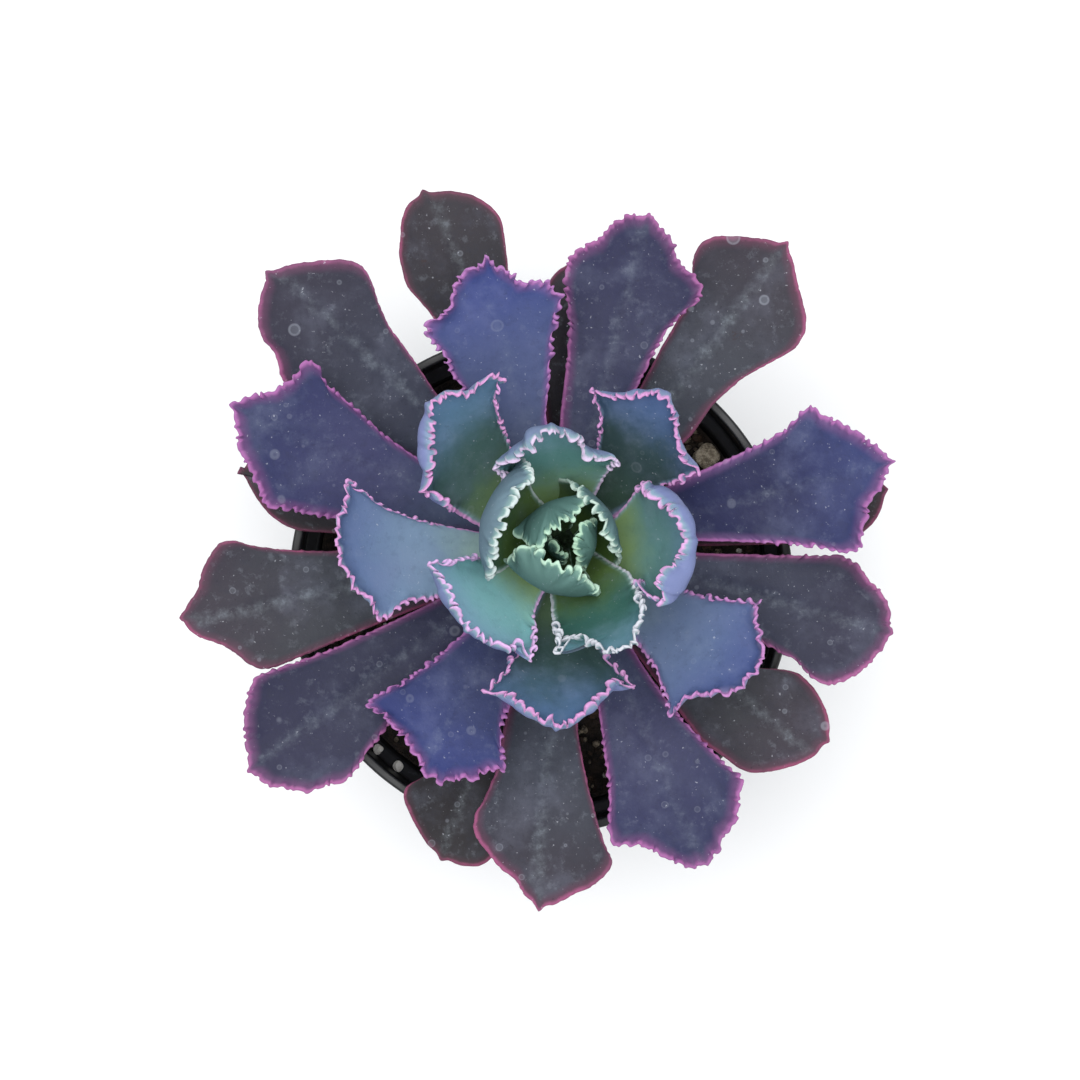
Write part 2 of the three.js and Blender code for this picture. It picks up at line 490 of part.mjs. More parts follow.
function leafGeometry(row, index) {
  const az = row.axis * DEG;
  const [reach, tipAcross] = inLeafAxis(row.point, az);
  const left = row.left.map((place) => inLeafAxis(place, az));
  const right = row.right.map((place) => inLeafAxis(place, az));
  const baseZ = firstLeafZ + LEAF_STEP * index;
  const thickness = Math.max(LEAST_THICKNESS, LEAF_THICKNESS * Math.min(1, reach / FULL_REACH));
  const start = stemRadius(baseZ - thickness) + JOINT_GAP + (thickness / 2) * Math.sin(row.lift * DEG);
  const spine = unitSpine(row.lift, row.bend);
  const length = (reach - start) / Math.max(...spine.map((p) => p.out));
  const wholeCup = row.cup * DEG;
  const unrolled = wholeCup / Math.sin(wholeCup); // flat width of a cupped blade, from the width across it
  const width = Math.max(...left.map((p) => p[1])) - Math.min(...right.map((p) => p[1]));
  const meanHalf = (width / 2) * unrolled;

  // Undoes the cup and the slope: the flat place of a margin point seen from above
  function flattened([out, sideways]) {
    let rise = 0;
    let flat = [0, 0];
    for (let round = 0; round < FLATTEN_ROUNDS; round++) {
      const share = shareAtOut(spine, length, out - start + rise);
      const cup = cupAt(wholeCup, share);
      const tilt = Math.asin(Math.max(-0.98, Math.min(0.98, (sideways * cup) / meanHalf)));
      rise = ((meanHalf * (1 - Math.cos(tilt))) / cup) * Math.sin(spineAt(spine, share).slope);
      flat = [share * length, (meanHalf * tilt) / cup];
    }
    return flat;
  }

  const halves = {
    1: halfRows(left.map(flattened), length, tipAcross),
    [-1]: halfRows(right.map(flattened), length, tipAcross),
  };
  const rows = MARGIN_ROWS - 1;
  const columns = 2 * STRIPS;

  // A point of the upper (face 1) or lower (face -1) side, at a row and a share across from -1 to 1
  function facePoint(rowNumber, share, face) {
    const { edge, rib } = halves[share < 0 ? -1 : 1][rowNumber];
    const along = rib[0] + (edge[0] - rib[0]) * Math.abs(share);
    const across = rib[1] + (edge[1] - rib[1]) * Math.abs(share);
    const at = spineAt(spine, along / length);
    const cup = cupAt(wholeCup, along / length);
    const tilt = (cup * across) / meanHalf;
    const sideways = (meanHalf * Math.sin(tilt)) / cup;
    const rise = (meanHalf * (1 - Math.cos(tilt))) / cup;
    const thin = 1 - (1 - TIP_THICKNESS) * (along / length);
    const half = (face * thickness * thin * (1 - (1 - MARGIN_THICKNESS) * share * share)) / 2;
    const raised = rise + half * Math.cos(tilt);
    const out = start + at.out * length - raised * Math.sin(at.slope);
    const up = baseZ + at.up * length + raised * Math.cos(at.slope);
    const lateral = sideways - half * Math.sin(tilt);
    return [
      CROWN_X + out * Math.cos(az) - lateral * Math.sin(az),
      CROWN_Y + out * Math.sin(az) + lateral * Math.cos(az),
      up,
    ];
  }

  const positions = [];
  const faces = [];
  for (let r = 0; r <= rows; r++) {
    for (let c = 0; c <= columns; c++) positions.push(facePoint(r, 1 - c / STRIPS, 1));
    for (let c = 0; c <= columns; c++) positions.push(facePoint(r, c / STRIPS - 1, -1));
  }
  const ring = 2 * (columns + 1);
  for (let r = 0; r < rows; r++) {
    for (let c = 0; c < ring; c++) {
      const a = r * ring + c;
      const b = r * ring + ((c + 1) % ring);
      faces.push(a, b, a + ring, b, b + ring, a + ring);
    }
  }
  // The neck's end face, strip by strip
  for (let c = 0; c < columns; c++) {
    const below = ring - 1 - c;
    faces.push(c, below, c + 1, c + 1, below, below - 1);
  }
  const flat = new THREE.BufferGeometry();
  flat.setAttribute("position", new THREE.Float32BufferAttribute(positions.flat(), 3));
  flat.setIndex(faces);
  return flat;
}

// Leaf colour by age: plum when old, blue in the middle, green in the heart
function leafColour(index) {
  const age = index / (leafRows.length - 1);
  const old = new THREE.Color(colours.oldLeaf);
  const middle = new THREE.Color(colours.midLeaf);
  if (age < 0.5) return old.lerp(middle, age / 0.5);
  return middle.lerp(new THREE.Color(colours.heartLeaf), (age - 0.5) / 0.5);
}

leafRows.forEach((row, index) => {
  const name = "leaf_" + String(index + 1).padStart(2, "0");
  addPiece(name, leafGeometry(row, index), leafColour(index), 0.6);
});

// ---------------------------------------------------------------- stones

// Height of the soil's heap at a distance from the pot's axis
function soilHeight(radius) {
  const edge = wallRadius(soilTop) - WALL - JOINT_GAP;
  const share = Math.min(1, radius / edge);
  return share > 0.6
    ? soilTop + (0.5 * SOIL_HEAP * (1 - share)) / 0.4
    : soilTop + SOIL_HEAP * (1 - (0.5 * share) / 0.6);
}

for (const stone of stoneRows) {
  const geometry = mergeVertices(new THREE.IcosahedronGeometry(0.5, 1).deleteAttribute("normal").deleteAttribute("uv"));
  const corners = geometry.attributes.position;
  for (let i = 0; i < corners.count; i++) {
    const swell = 1 + STONE_ROUGHNESS * Math.sin(5.1 * i + stone.turn);
    corners.setXYZ(i, corners.getX(i) * swell, corners.getY(i) * swell, corners.getZ(i) * swell);
  }
  geometry.scale(...stone.size).rotateZ(stone.turn * DEG);
  geometry.computeBoundingBox();
  const seat = stone.onLedge ? ledgeZ + WALL : soilHeight(Math.hypot(stone.x, stone.y) - stone.size[0] / 2);
  const outward = stone.onLedge ? (RIM_RADIUS - LEDGE_STONE_LIP) / Math.hypot(stone.x, stone.y) : 0;
  const lift = seat + JOINT_GAP - geometry.boundingBox.min.z;
  geometry.translate(stone.x * (1 + outward), stone.y * (1 + outward), lift);
  const colour = stone.onLedge ? colours.perlite : colours.pumice;
  addPiece(stone.name, geometry, colour, 0.9);
}

export default part;
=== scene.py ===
# %% [markdown]
# # A frilled echeveria in a nursery pot
# The plant is a rosette of thick, powdery leaves on a short stem, and it stands in a round black nursery pot.
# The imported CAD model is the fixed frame: it gives the height of the pot, the place of the stem and the
# spiral of the leaves. Each leaf is then grown again as a fine surface, because a crisped margin needs far
# more points than a solid for collisions does.

# %% Load the frame
import math
from types import SimpleNamespace

import bpy
import numpy as np
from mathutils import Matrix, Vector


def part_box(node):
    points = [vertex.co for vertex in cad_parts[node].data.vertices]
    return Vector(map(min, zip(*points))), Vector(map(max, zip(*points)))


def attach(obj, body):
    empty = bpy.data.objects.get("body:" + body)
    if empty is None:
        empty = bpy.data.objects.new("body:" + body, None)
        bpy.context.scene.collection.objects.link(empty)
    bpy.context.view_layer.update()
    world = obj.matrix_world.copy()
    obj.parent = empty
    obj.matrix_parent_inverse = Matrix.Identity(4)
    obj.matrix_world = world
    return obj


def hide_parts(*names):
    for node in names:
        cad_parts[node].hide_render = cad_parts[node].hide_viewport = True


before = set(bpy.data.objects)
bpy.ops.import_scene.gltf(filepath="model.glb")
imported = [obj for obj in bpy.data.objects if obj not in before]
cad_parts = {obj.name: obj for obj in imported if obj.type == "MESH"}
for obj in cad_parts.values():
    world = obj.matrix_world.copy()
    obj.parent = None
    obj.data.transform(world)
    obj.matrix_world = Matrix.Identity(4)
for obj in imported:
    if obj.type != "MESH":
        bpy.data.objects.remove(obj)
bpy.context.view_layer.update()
MM = 0.001

# %% [markdown]
# ## Where things are
# The CAD nodes say where the pot's rim, the soil and the crown are. The stem is turned, so the middle of its
# box is the crown's axis. Its top is where the youngest leaf sits.

# %% Places taken from the frame
pot_low, pot_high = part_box("pot")
soil_low, soil_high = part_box("soil")
stem_low, stem_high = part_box("stem")
RIM_Z = pot_high.z
RIM_RADIUS = (pot_high.x - pot_low.x) / 2
CROWN = np.array([(stem_low.x + stem_high.x) / 2, (stem_low.y + stem_high.y) / 2])
leaf_nodes = sorted(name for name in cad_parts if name.startswith("leaf_"))
print("rim", round(RIM_Z / MM, 1), "crown", CROWN / MM, "leaves", len(leaf_nodes))

# %% [markdown]
# ## Making meshes
# Every new piece is a grid of points worked out as whole arrays. One helper puts such a grid into a mesh,
# with smooth faces, hangs it on the root body and hides the CAD nodes it stands for.


# %% Helpers for pieces
def add_piece(name, points, faces, nodes=(), attributes=None):
    """A mesh object from an (n, 3) array of points in metres and an (m, 4) array of corner numbers. A face
    whose last two numbers are the same is a triangle."""
    mesh = bpy.data.meshes.new(name)
    triangle = faces[:, 2] == faces[:, 3]
    sizes = np.where(triangle, 3, 4)
    keep = np.ones(faces.shape, bool)
    keep[triangle, 3] = False
    loops = faces[keep]
    mesh.vertices.add(len(points))
    mesh.vertices.foreach_set("co", points.astype(np.float32).ravel())
    mesh.loops.add(len(loops))
    mesh.loops.foreach_set("vertex_index", loops.astype(np.int32))
    mesh.polygons.add(len(faces))
    mesh.polygons.foreach_set("loop_start", np.concatenate([[0], np.cumsum(sizes)[:-1]]).astype(np.int32))
    for key, values in (attributes or {}).items():
        layer = mesh.attributes.new(key, "FLOAT", "POINT")
        layer.data.foreach_set("value", values.astype(np.float32).ravel())
    mesh.update(calc_edges=True)
    mesh.validate()
    mesh.shade_smooth()
    piece = bpy.data.objects.new(name, mesh)
    bpy.context.scene.collection.objects.link(piece)
    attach(piece, "root")
    if nodes:
        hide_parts(*nodes)
    return piece


def smooth_step(x, low, high):
    """0 below low, 1 above high, and an S-shaped rise between."""
    t = np.clip((x - low) / (high - low), 0, 1)
    return t * t * (3 - 2 * t)


def wander(x, seed, period):
    """A smooth wandering line of x between about -1 and 1: three sines whose periods have no common measure,
    with their phases taken from the seed."""
    phase = np.random.default_rng(seed).uniform(0, 2 * math.pi, 3)
    turns = 2 * math.pi * x / period
    waves = np.sin(turns + phase[0]) + 0.7 * np.sin(1.73 * turns + phase[1])
    return (waves + 0.5 * np.sin(2.91 * turns + phase[2])) / 1.6


print("mesh helpers ready")

# %% [markdown]
# ## The leaves' places
# A rosette is a spiral: each new leaf stands about 138 degrees round from the last one and a step higher on
# the stem. A real one isn't perfect, so each leaf has its own row here, oldest first. A row starts with the
# direction of the leaf's axis, the place of its tip, its mean slope, how much the slope grows outwards, the
# angle its sides lift to, how crisped the margin is, and how far the rim of the end curls up and in on the
# left and on the right. Angles are in degrees. Then come the places on the left margin and on the right
# one, from the stem outwards. A place is degrees round the crown and millimetres from its axis. The CAD
# leaves have nearly the same numbers: leaf 15 is wider here near its base, and leaf 29 is a little smaller.

# %% Leaf table
LEAF_ROWS = [
    # leaf 1
    ((88, (88, 72), 4, -14, 14, 0.1, 4, 4),
     [(98.3, 31.5), (97.4, 46.3), (97, 56.1), (95.3, 62.6), (93, 67.3), (91, 69.8), (89.2, 70.8)],
     [(77.7, 31.5), (78.6, 46.3), (79, 56.1), (80.7, 62.6), (83, 67.3), (85, 69.8), (86.8, 70.8)]),
    # leaf 2
    ((169.2, (168.5, 85.5), 4, -14, 14, 0.1, 4, 4),
     [(178.2, 60.2), (178, 67.8), (177, 71.7), (175.1, 75.7), (172.3, 79.5), (169.4, 82.7), (166.6, 85.4)],
     [(157.3, 38.6), (158.5, 57.5), (159, 70.2), (160.6, 76.3), (163, 80.8), (165.3, 83), (167.1, 83.9)]),
    # leaf 3
    ((8.8, (9, 84), 4.5, -14, 14, 0.1, 4, 4),
     [(19.6, 38.6), (18.4, 57.5), (18, 70.1), (16.5, 75.7), (14.3, 79.7), (12.1, 81.7), (10.3, 82.6)],
     [(-2.1, 38.6), (-0.9, 57.5), (-0.5, 70.1), (1, 75.7), (3.4, 79.6), (5.7, 81.7), (7.6, 82.6)]),
    # leaf 4
    ((248.5, (248.9, 87.6), 5, -15, 14, 0.1, 6, 6),
     [(257.2, 68.4), (258.3, 77.2), (257.2, 83.3), (255.5, 86), (252.2, 87.2)],
     [(243.6, 63), (238.7, 71.1), (237, 74.9), (238.2, 77.8), (241.8, 81.4), (245.7, 85.2)]),
    # leaf 5
    ((110.9, (112, 96.3), 5.5, -15, 14, 0.12, 6, 4),
     [(120.5, 66.2), (121.2, 71.2), (121.9, 76.1), (121, 79.9), (120.2, 83.9), (118.5, 87.4),
      (117.2, 91), (115.1, 94.4)],
     [(102.1, 67), (101.4, 72.8), (101.1, 78.4), (101, 83.3), (102.5, 87.4), (104.8, 90.9), (108.1, 93.7)]),
    # leaf 6
    ((319, (322.8, 84.7), 6, -14, 14, 0.12, 4, 4),
     [(323.3, 54.9), (327.5, 60.6), (329.7, 64.9), (330.6, 68.8), (329.4, 74), (327.3, 79), (324.9, 82.8)],
     [(304.3, 62.1), (306.4, 68.5), (307.4, 73.2), (308.9, 76.1), (312.3, 79.3), (316.1, 82.3),
      (319.4, 84.2)]),
    # leaf 7
    ((192.3, (191.4, 99.4), 7, -14, 15, 0.22, 4, 6),
     [(204.2, 51.9), (204, 61.7), (203.9, 71.4), (203.8, 78.8), (203.5, 82.3), (201.8, 85.4),
      (198.1, 88.8), (196.3, 92), (194.8, 95.8), (193.3, 98)],
     [(182.6, 60.2), (181.8, 71.7), (180.9, 79.4), (179.9, 83.2), (180.1, 87), (182.6, 89.9),
      (185, 92.2), (187.8, 93.5), (189.4, 96.5), (190.8, 98.2)]),
    # leaf 8
    ((53.3, (53.2, 94.4), 7.5, -13, 15, 0.18, 8, 8),
     [(63.5, 46.6), (63.3, 56.1), (62.7, 64.9), (62.3, 70.9), (64.6, 75.1), (65.6, 78.1), (65.6, 82.3),
      (63.7, 85.8), (60.4, 88.4), (56, 91.8)],
     [(39.4, 41.9), (42.4, 50.8), (42.3, 61), (40.6, 69.4), (39.6, 75.6), (40.6, 80.2), (42.9, 83.4),
      (47.2, 87.1), (51.1, 91.8)]),
    # leaf 9
    ((265.4, (266, 93.7), 8.5, -12, 16, 0.22, 6, 8),
     [(274.1, 49.9), (275.6, 62.7), (276.9, 72.3), (277.8, 78.5), (278.8, 81.7), (277.1, 84.9),
      (274.7, 87.3), (271.3, 89.3), (268.3, 92)],
     [(252, 49.7), (253.4, 60.6), (252.7, 68.5), (251.7, 72.9), (252.6, 77.2), (255.6, 80.5),
      (258.9, 84.3), (261.9, 86.3), (263.5, 90.1)]),
    # leaf 10
    ((136.8, (138, 101), 9.5, -11, 16, 0.22, 10, 4),
     [(151.1, 76.6), (150.5, 81.7), (148.4, 84.5), (147, 86.8), (146.6, 90.8), (145, 93.9),
      (142.8, 96.5), (140.4, 98.5)],
     [(131.1, 49.4), (129.8, 59.3), (129.3, 69.9), (127.9, 76.5), (126.6, 80.8), (126.2, 85.4),
      (127.8, 89.3), (130.7, 92.7), (133.8, 96.5), (136.4, 99.1)]),
    # leaf 11
    ((344, (344.2, 85.6), 11, -10, 17, 0.38, 8, 6),
     [(354.7, 35), (355.8, 47.5), (356.5, 60), (357, 69.5), (355.6, 73.8), (352.9, 76.6), (350.7, 80.8),
      (347.9, 83.8)],
     [(332.4, 49.2), (332.4, 59), (332.4, 66), (330.5, 72.1), (331.6, 76.4), (334.5, 80), (338, 82.6),
      (341.7, 84.7)]),
    # leaf 12
    ((215.8, (216.1, 98), 12, -8, 18, 0.48, 6, 10),
     [(226, 58.1), (226.7, 66), (227.2, 72.9), (228, 79.5), (227.7, 81.9), (225.8, 85.1), (224.9, 89.3),
      (222.1, 92.7), (219.1, 96.5)],
     [(205.1, 37.8), (205.2, 51.7), (204.9, 65.3), (204.1, 75.7), (203.6, 83.5), (204.3, 86.4),
      (206.2, 88), (208.3, 91), (212.1, 94.2), (214.7, 95.8)]),
    # leaf 13
    ((75.8, (75.4, 84.4), 13, -6, 19, 0.6, 10, 12),
     [(91.8, 31.9), (89.3, 45.6), (89, 56.7), (90.2, 62.8), (90.2, 67.1), (88.8, 71.7), (86.3, 73.6),
      (83.2, 76.1), (81.8, 79.9), (78.7, 83.3)],
     [(64.5, 43.6), (64.4, 53.2), (63.2, 61.9), (60.6, 68.4), (60.8, 71.6), (63.2, 73.6), (67.2, 74.7),
      (69.9, 79.5), (72.8, 81.7)]),
    # leaf 14
    ((292.9, (293.8, 88.2), 14.5, -4, 20, 0.55, 10, 10),
     [(302, 36.5), (302.8, 50.5), (304.7, 60.2), (305.9, 68.9), (306.9, 73.8), (303.8, 78.1),
      (301, 82.5), (298, 83.4), (296.8, 86.3)],
     [(281.4, 42.6), (280.3, 55.1), (280, 63.7), (278.3, 73.3), (279, 77.1), (284.1, 78), (286.3, 81),
      (288, 83.8), (291, 87.6)]),
    # leaf 15
    ((159, (158, 89.6), 16, -2, 21, 0.62, 12, 14),
     [(178.5, 24), (177.5, 36), (176, 49.5), (174.8, 59), (173.9, 68.7), (173.6, 74.8), (170.6, 77),
      (166.4, 81.3), (163.8, 84.4), (160.8, 86.5)],
     [(150.6, 43.5), (149.5, 53.7), (147.1, 63.7), (146.5, 71.4), (144.3, 75.2), (144.8, 77.7),
      (146.5, 78.5), (149.2, 78.6), (153.1, 81.6), (156.1, 87.4)]),
    # leaf 16
    ((13.2, (13.5, 84), 17.5, 1, 22, 0.6, 14, 24),
     [(27.5, 33.3), (26.7, 44.2), (26.6, 55.1), (26.9, 62.1), (28.9, 67.3), (29, 69.6), (26.1, 71.1),
      (22.1, 75.4), (18.3, 79.4), (15.5, 81.8)],
     [(-0.3, 32.1), (-0.5, 44.5), (-1.4, 59.2), (-2.3, 66.5), (-2.9, 70.9), (-1.7, 73), (2, 74.2),
      (6.7, 75.6), (9.1, 79.4), (12.3, 81.7)]),
    # leaf 17
    ((237.2, (239.2, 68.3), 21, 10, 24, 0.85, 26, 42),
     [(250.9, 39.7), (251.5, 48.5), (253.9, 55.3), (256, 59.1), (252.7, 59.6), (250.3, 62.6),
      (245.7, 65.1), (243.1, 68.2)],
     [(222.4, 37.1), (221.9, 46.5), (220.4, 54.9), (218.9, 61.4), (218.5, 63.8), (222.3, 63.4),
      (228.8, 63), (234.7, 65.4)]),
    # leaf 18
    ((107.7, (105.4, 73.2), 22, 8, 24, 0.85, 52, 26),
     [(125.2, 43), (124.6, 49.9), (123.7, 56.6), (124.4, 59.3), (124.5, 61.7), (121.1, 63.8),
      (115.9, 65.6), (114, 68.7), (110.4, 71.5)],
     [(98.6, 32), (95.3, 40.4), (92.7, 52.3), (90, 61), (93.1, 63.4), (96.3, 64.6), (99.6, 64.6),
      (100.9, 67.5), (104, 69.7)]),
    # leaf 19
    ((321.7, (325.5, 58.8), 27, 12, 26, 0.9, 66, 80),
     [(337.2, 29), (338.1, 36.8), (341.3, 46.2), (343.7, 50.1), (339, 51.5), (334.5, 54.2), (331.6, 57.7)],
     [(304.8, 33.5), (304.7, 40), (302.7, 45.7), (299.7, 51.5), (307, 49.8), (313.6, 54.1), (320.3, 57.9)]),
    # leaf 20
    ((183.9, (179.9, 57.6), 29, 13, 27, 0.9, 60, 62),
     [(200.2, 25.3), (204.9, 34.3), (202.1, 44), (204.2, 49.8), (198.3, 51.7), (191.9, 54.5),
      (186.4, 56.8)],
     [(174.3, 21.4), (172.6, 33.9), (169.7, 45.1), (166.1, 51.8), (163.7, 56.5), (169.1, 55.1),
      (173, 57.1), (176, 58)]),
    # leaf 21
    ((53.6, (54.3, 45), 35, 16, 29, 0.95, 104, 96),
     [(70.5, 24), (73.3, 31.2), (75.2, 35.8), (82.1, 39.2), (73.3, 39.3), (63.9, 42.2), (58.8, 45)],
     [(28, 21.6), (28, 30.4), (27.1, 34.9), (25.7, 38.7), (34.1, 37.4), (42.8, 39.8), (49.7, 42.3)]),
    # leaf 22
    ((268.5, (267.1, 47.4), 38, 16, 30, 1.0, 100, 96),
     [(288.5, 28.2), (290.7, 33.6), (296.4, 40.6), (289.9, 38.8), (280.4, 43.1), (274.3, 45.9)],
     [(246.2, 31.7), (245.4, 37.6), (240.8, 42.2), (248.9, 43), (257.9, 44.9), (262.9, 46.3)]),
    # leaf 23
    ((136.8, (135.7, 48.4), 39.5, 18, 32, 1.0, 150, 66),
     [(172.5, 20), (164.8, 30.5), (163, 39.6), (156.4, 39.9), (150.3, 42), (142, 45.4)],
     [(120.4, 25.6), (118.9, 31.2), (117.5, 36.6), (116.5, 40.4), (109.8, 43), (113.6, 44.8),
      (122.3, 44.8), (129.4, 48.1)]),
    # leaf 24
    ((2.5, (-0.3, 32.4), 48, 42, 40, 1.05, 135, 140),
     [(23, 13.2), (30.1, 17.7), (36.4, 23.1), (35.7, 27.5), (27.3, 29.9), (16.9, 31.3), (8, 32.1)],
     [(-33.1, 22.5), (-34.1, 27), (-35.6, 30), (-33.6, 32.7), (-26.4, 32.5), (-18, 32.7), (-8.4, 32.6)]),
    # leaf 25
    ((222.2, (222, 34), 44, 26, 36, 1.05, 84, 92),
     [(247, 20), (252, 25.4), (255, 31.4), (248.2, 29.5), (239.9, 32.6), (230.3, 33.4)],
     [(193.5, 17.9), (190.1, 25.2), (189.9, 31.3), (189.7, 36.2), (198.6, 34.8), (205.9, 35),
      (214.3, 35.1)]),
    # leaf 26
    ((95.2, (97.1, 29.2), 52, 42, 44, 1.1, 92, 84),
     [(134.1, 17.4), (134.3, 21.4), (135.2, 25.7), (125.9, 26.4), (116.9, 27.2), (108.9, 28.9)],
     [(56.7, 15.1), (57.9, 19.1), (56.1, 24.5), (68.2, 23.8), (77.6, 25), (85.9, 27.5)]),
    # leaf 27
    ((298.8, (294.1, 30.8), 57, 24, 42, 1.05, 34, 46),
     [(333.8, 17.8), (326.2, 22), (318.9, 26.5), (309.7, 28.9), (303.4, 30.3)],
     [(254, 13.5), (260, 19), (264.5, 27), (268.9, 24.6), (279.2, 24.7), (286.5, 28.3)]),
    # leaf 28
    ((166, (166, 21.5), 62, 62, 52, 1.0, 30, 30),
     [(206, 12), (210, 16.6), (212, 20), (202.8, 20.6), (189, 21.1), (175.2, 21.5)],
     [(120, 13), (116, 17.9), (114, 21.6), (124.4, 21.6), (140, 21.5), (155.6, 21.5)]),
    # leaf 29
    ((32, (32, 13.5), 64, 50, 52, 1.0, 22, 22),
     [(98, 9.6), (102, 13), (104, 15.6), (90, 14.6), (68, 13.9), (46, 13.5)],
     [(-24, 9), (-28, 12), (-31, 14.2), (-20, 14), (0, 13.8), (18, 13.6)]),
    # leaf 30
    ((250, (250, 13.8), 65, 46, 52, 1.0, 22, 22),
     [(306, 8.8), (310, 12.1), (312, 14.6), (299.6, 14.3), (281, 14), (262.4, 13.8)],
     [(196, 8.9), (192, 12.3), (190, 14.8), (202, 14.4), (220, 14.1), (238, 13.8)]),
    # leaf 31
    ((116, (116, 10.4), 70, 40, 52, 1.0, 22, 22),
     [(170, 7.2), (174, 10), (176, 12), (164, 11.4), (146, 10.8), (128, 10.4)],
     [(62, 6.7), (58, 9.3), (56, 11.2), (68, 10.9), (86, 10.6), (104, 10.4)]),
    # leaf 32
    ((342, (342, 7.8), 73, 34, 50, 1.0, 22, 22),
     [(400, 5.3), (404, 7.3), (406, 8.8), (393.2, 8.4), (374, 8.1), (354.8, 7.8)],
     [(286, 4.6), (282, 6.3), (280, 7.6), (292.4, 7.7), (311, 7.8), (329.6, 7.8)]),
    # leaf 33
    ((215, (215, 5.2), 76, 24, 46, 1.0, 22, 22),
     [(265, 3.4), (269, 4.6), (271, 5.6), (259.8, 5.4), (243, 5.3), (226.2, 5.2)],
     [(167, 3.2), (163, 4.5), (161, 5.4), (171.8, 5.3), (188, 5.2), (204.2, 5.2)]),
]
print(len(LEAF_ROWS), "leaf rows")

# %% [markdown]
# ## From a flat leaf to a grown one
# A leaf is drawn flat first, then bent. Flat, its margin runs from the neck along the flank to the widest
# corner and round the end to the tip, and each row of points runs from the midrib out to the margin. Then the
# flat leaf is laid along a spine that slopes up from the stem, its sides are lifted into a channel, the last
# few millimetres of the end are curled up and in, and the very margin is thrown into fine frills.

# %% Sizes shared by every leaf
LEAF_STEP = 1.15 * MM  # rise of the stem from one leaf to the next
FIRST_LEAF_Z = RIM_Z - 1 * MM
STEM_RADIUS = 6.5 * MM
STEM_TOP_RADIUS = 0.8 * MM
STEM_GAP = 0.3 * MM  # between the stem and a leaf's neck
LEAF_THICKNESS = 2.3 * MM  # at the neck of a leaf that is full-grown
LEAST_THICKNESS = 0.9 * MM
FULL_REACH = 55 * MM  # a leaf is full-grown when it reaches this far
NECK_SHARE = 0.25  # the neck's width against the width at the first place on the margin
CUP_START, CUP_END = 0.1, 0.72  # where the sides begin to lift and where they are fully lifted
HEART_LEAN = {28: 32, 29: 28, 30: 58, 31: 56, 32: 48, 33: 36}  # how far a heart leaf's end leans in, degrees
RIB_END = 0.80  # where the midrib of the rows stops, as a share of the leaf's length
INNER_STRIPS = 11  # from the midrib to where the rim starts
print("the first leaf starts", round(FIRST_LEAF_Z / MM, 1), "mm up")

# %% Sizes of the rim and its frills
RIM_WIDTH = 6.5 * MM  # width of the band that curls
RIM_STATIONS = np.array([6.5, 5.4, 4.4, 3.5, 2.7, 2.0, 1.45, 1.0, 0.66, 0.38, 0.16, 0.0]) * MM
RIM_HALF = 0.40 * MM  # half the thickness of the margin
ROUND_EDGE = 0.36 * MM  # the last stretch, over which the edge is rounded off
CORNER_FLARE = 0.7  # how much of the curl a corner loses
CORNER_WIDTH = 4.5 * MM
ROW_STEP = 0.28 * MM  # distance between rows at the margin: about ten to a frill
FRILL_PERIOD = 2.9 * MM
FRILL_DEPTH = 2.4 * MM  # how far a frill reaches in from the margin
FRILL_HEIGHT = 0.72 * MM  # how far a frill swings off the face
FRILL_REACH = 0.95 * MM  # how far it swings out and in at the margin
FRILL_SLIP = 0.24 * MM  # how far it slips along the margin
FOLD_HEIGHT = 0.95 * MM
FOLD_DEPTH = 7.5 * MM
LOBE_REACH = 0.40 * MM
LOBE_DEPTH = 3 * MM
GROOVE_DEPTH = 0.5 * MM  # the groove over the midrib
GROOVE_WIDTH = 2.2 * MM
print("frills are", round(FRILL_PERIOD / MM, 1), "mm long and", round(2 * FRILL_REACH / MM, 1), "mm across")


# %% The spine
def spine_of(slope, bend, lean=0, steps=400):
    """Outward and upward distance along a spine of length 1 whose slope in degrees grows evenly from
    slope - bend / 2 to slope + bend / 2, and by lean more over its outer part: the running sums of its
    cosine and its sine."""
    share = np.linspace(0, 1, steps)
    angle = np.radians(slope + bend * (share - 0.5) + lean * smooth_step(share, 0.30, 1.0))
    step = 1 / (steps - 1)
    out = np.concatenate([[0], np.cumsum((np.cos(angle[1:]) + np.cos(angle[:-1])) / 2)]) * step
    up = np.concatenate([[0], np.cumsum((np.sin(angle[1:]) + np.sin(angle[:-1])) / 2)]) * step
    return share, out, up, angle


def stem_radius(z):
    """Radius of the stem at a height among the leaves: it narrows ever faster towards its top."""
    top = FIRST_LEAF_Z + LEAF_STEP * (len(LEAF_ROWS) - 1)
    up = min(1.0, max(0.0, (z - FIRST_LEAF_Z) / (top - FIRST_LEAF_Z)))
    return STEM_RADIUS + (STEM_TOP_RADIUS - STEM_RADIUS) * up**1.6


print("a spine that slopes 30 degrees reaches", round(float(spine_of(30, 0)[1][-1]), 3), "of its length")

# %% [markdown]
# ## The margin
# Each leaf has a margin of its own, so it is measured at a few places and joined up: straight lines between
# the places, then a running average that rounds the corners as growth does. The margin is stepped at even
# distances, so that the frills have the same number of points everywhere.

# %% Margin of one half of a leaf
CORNER_ROUNDING = 1.1 * MM
POINT_WIDTH = 1.2 * MM  # the little point at the tip
MARGIN_STEP = 0.25 * MM


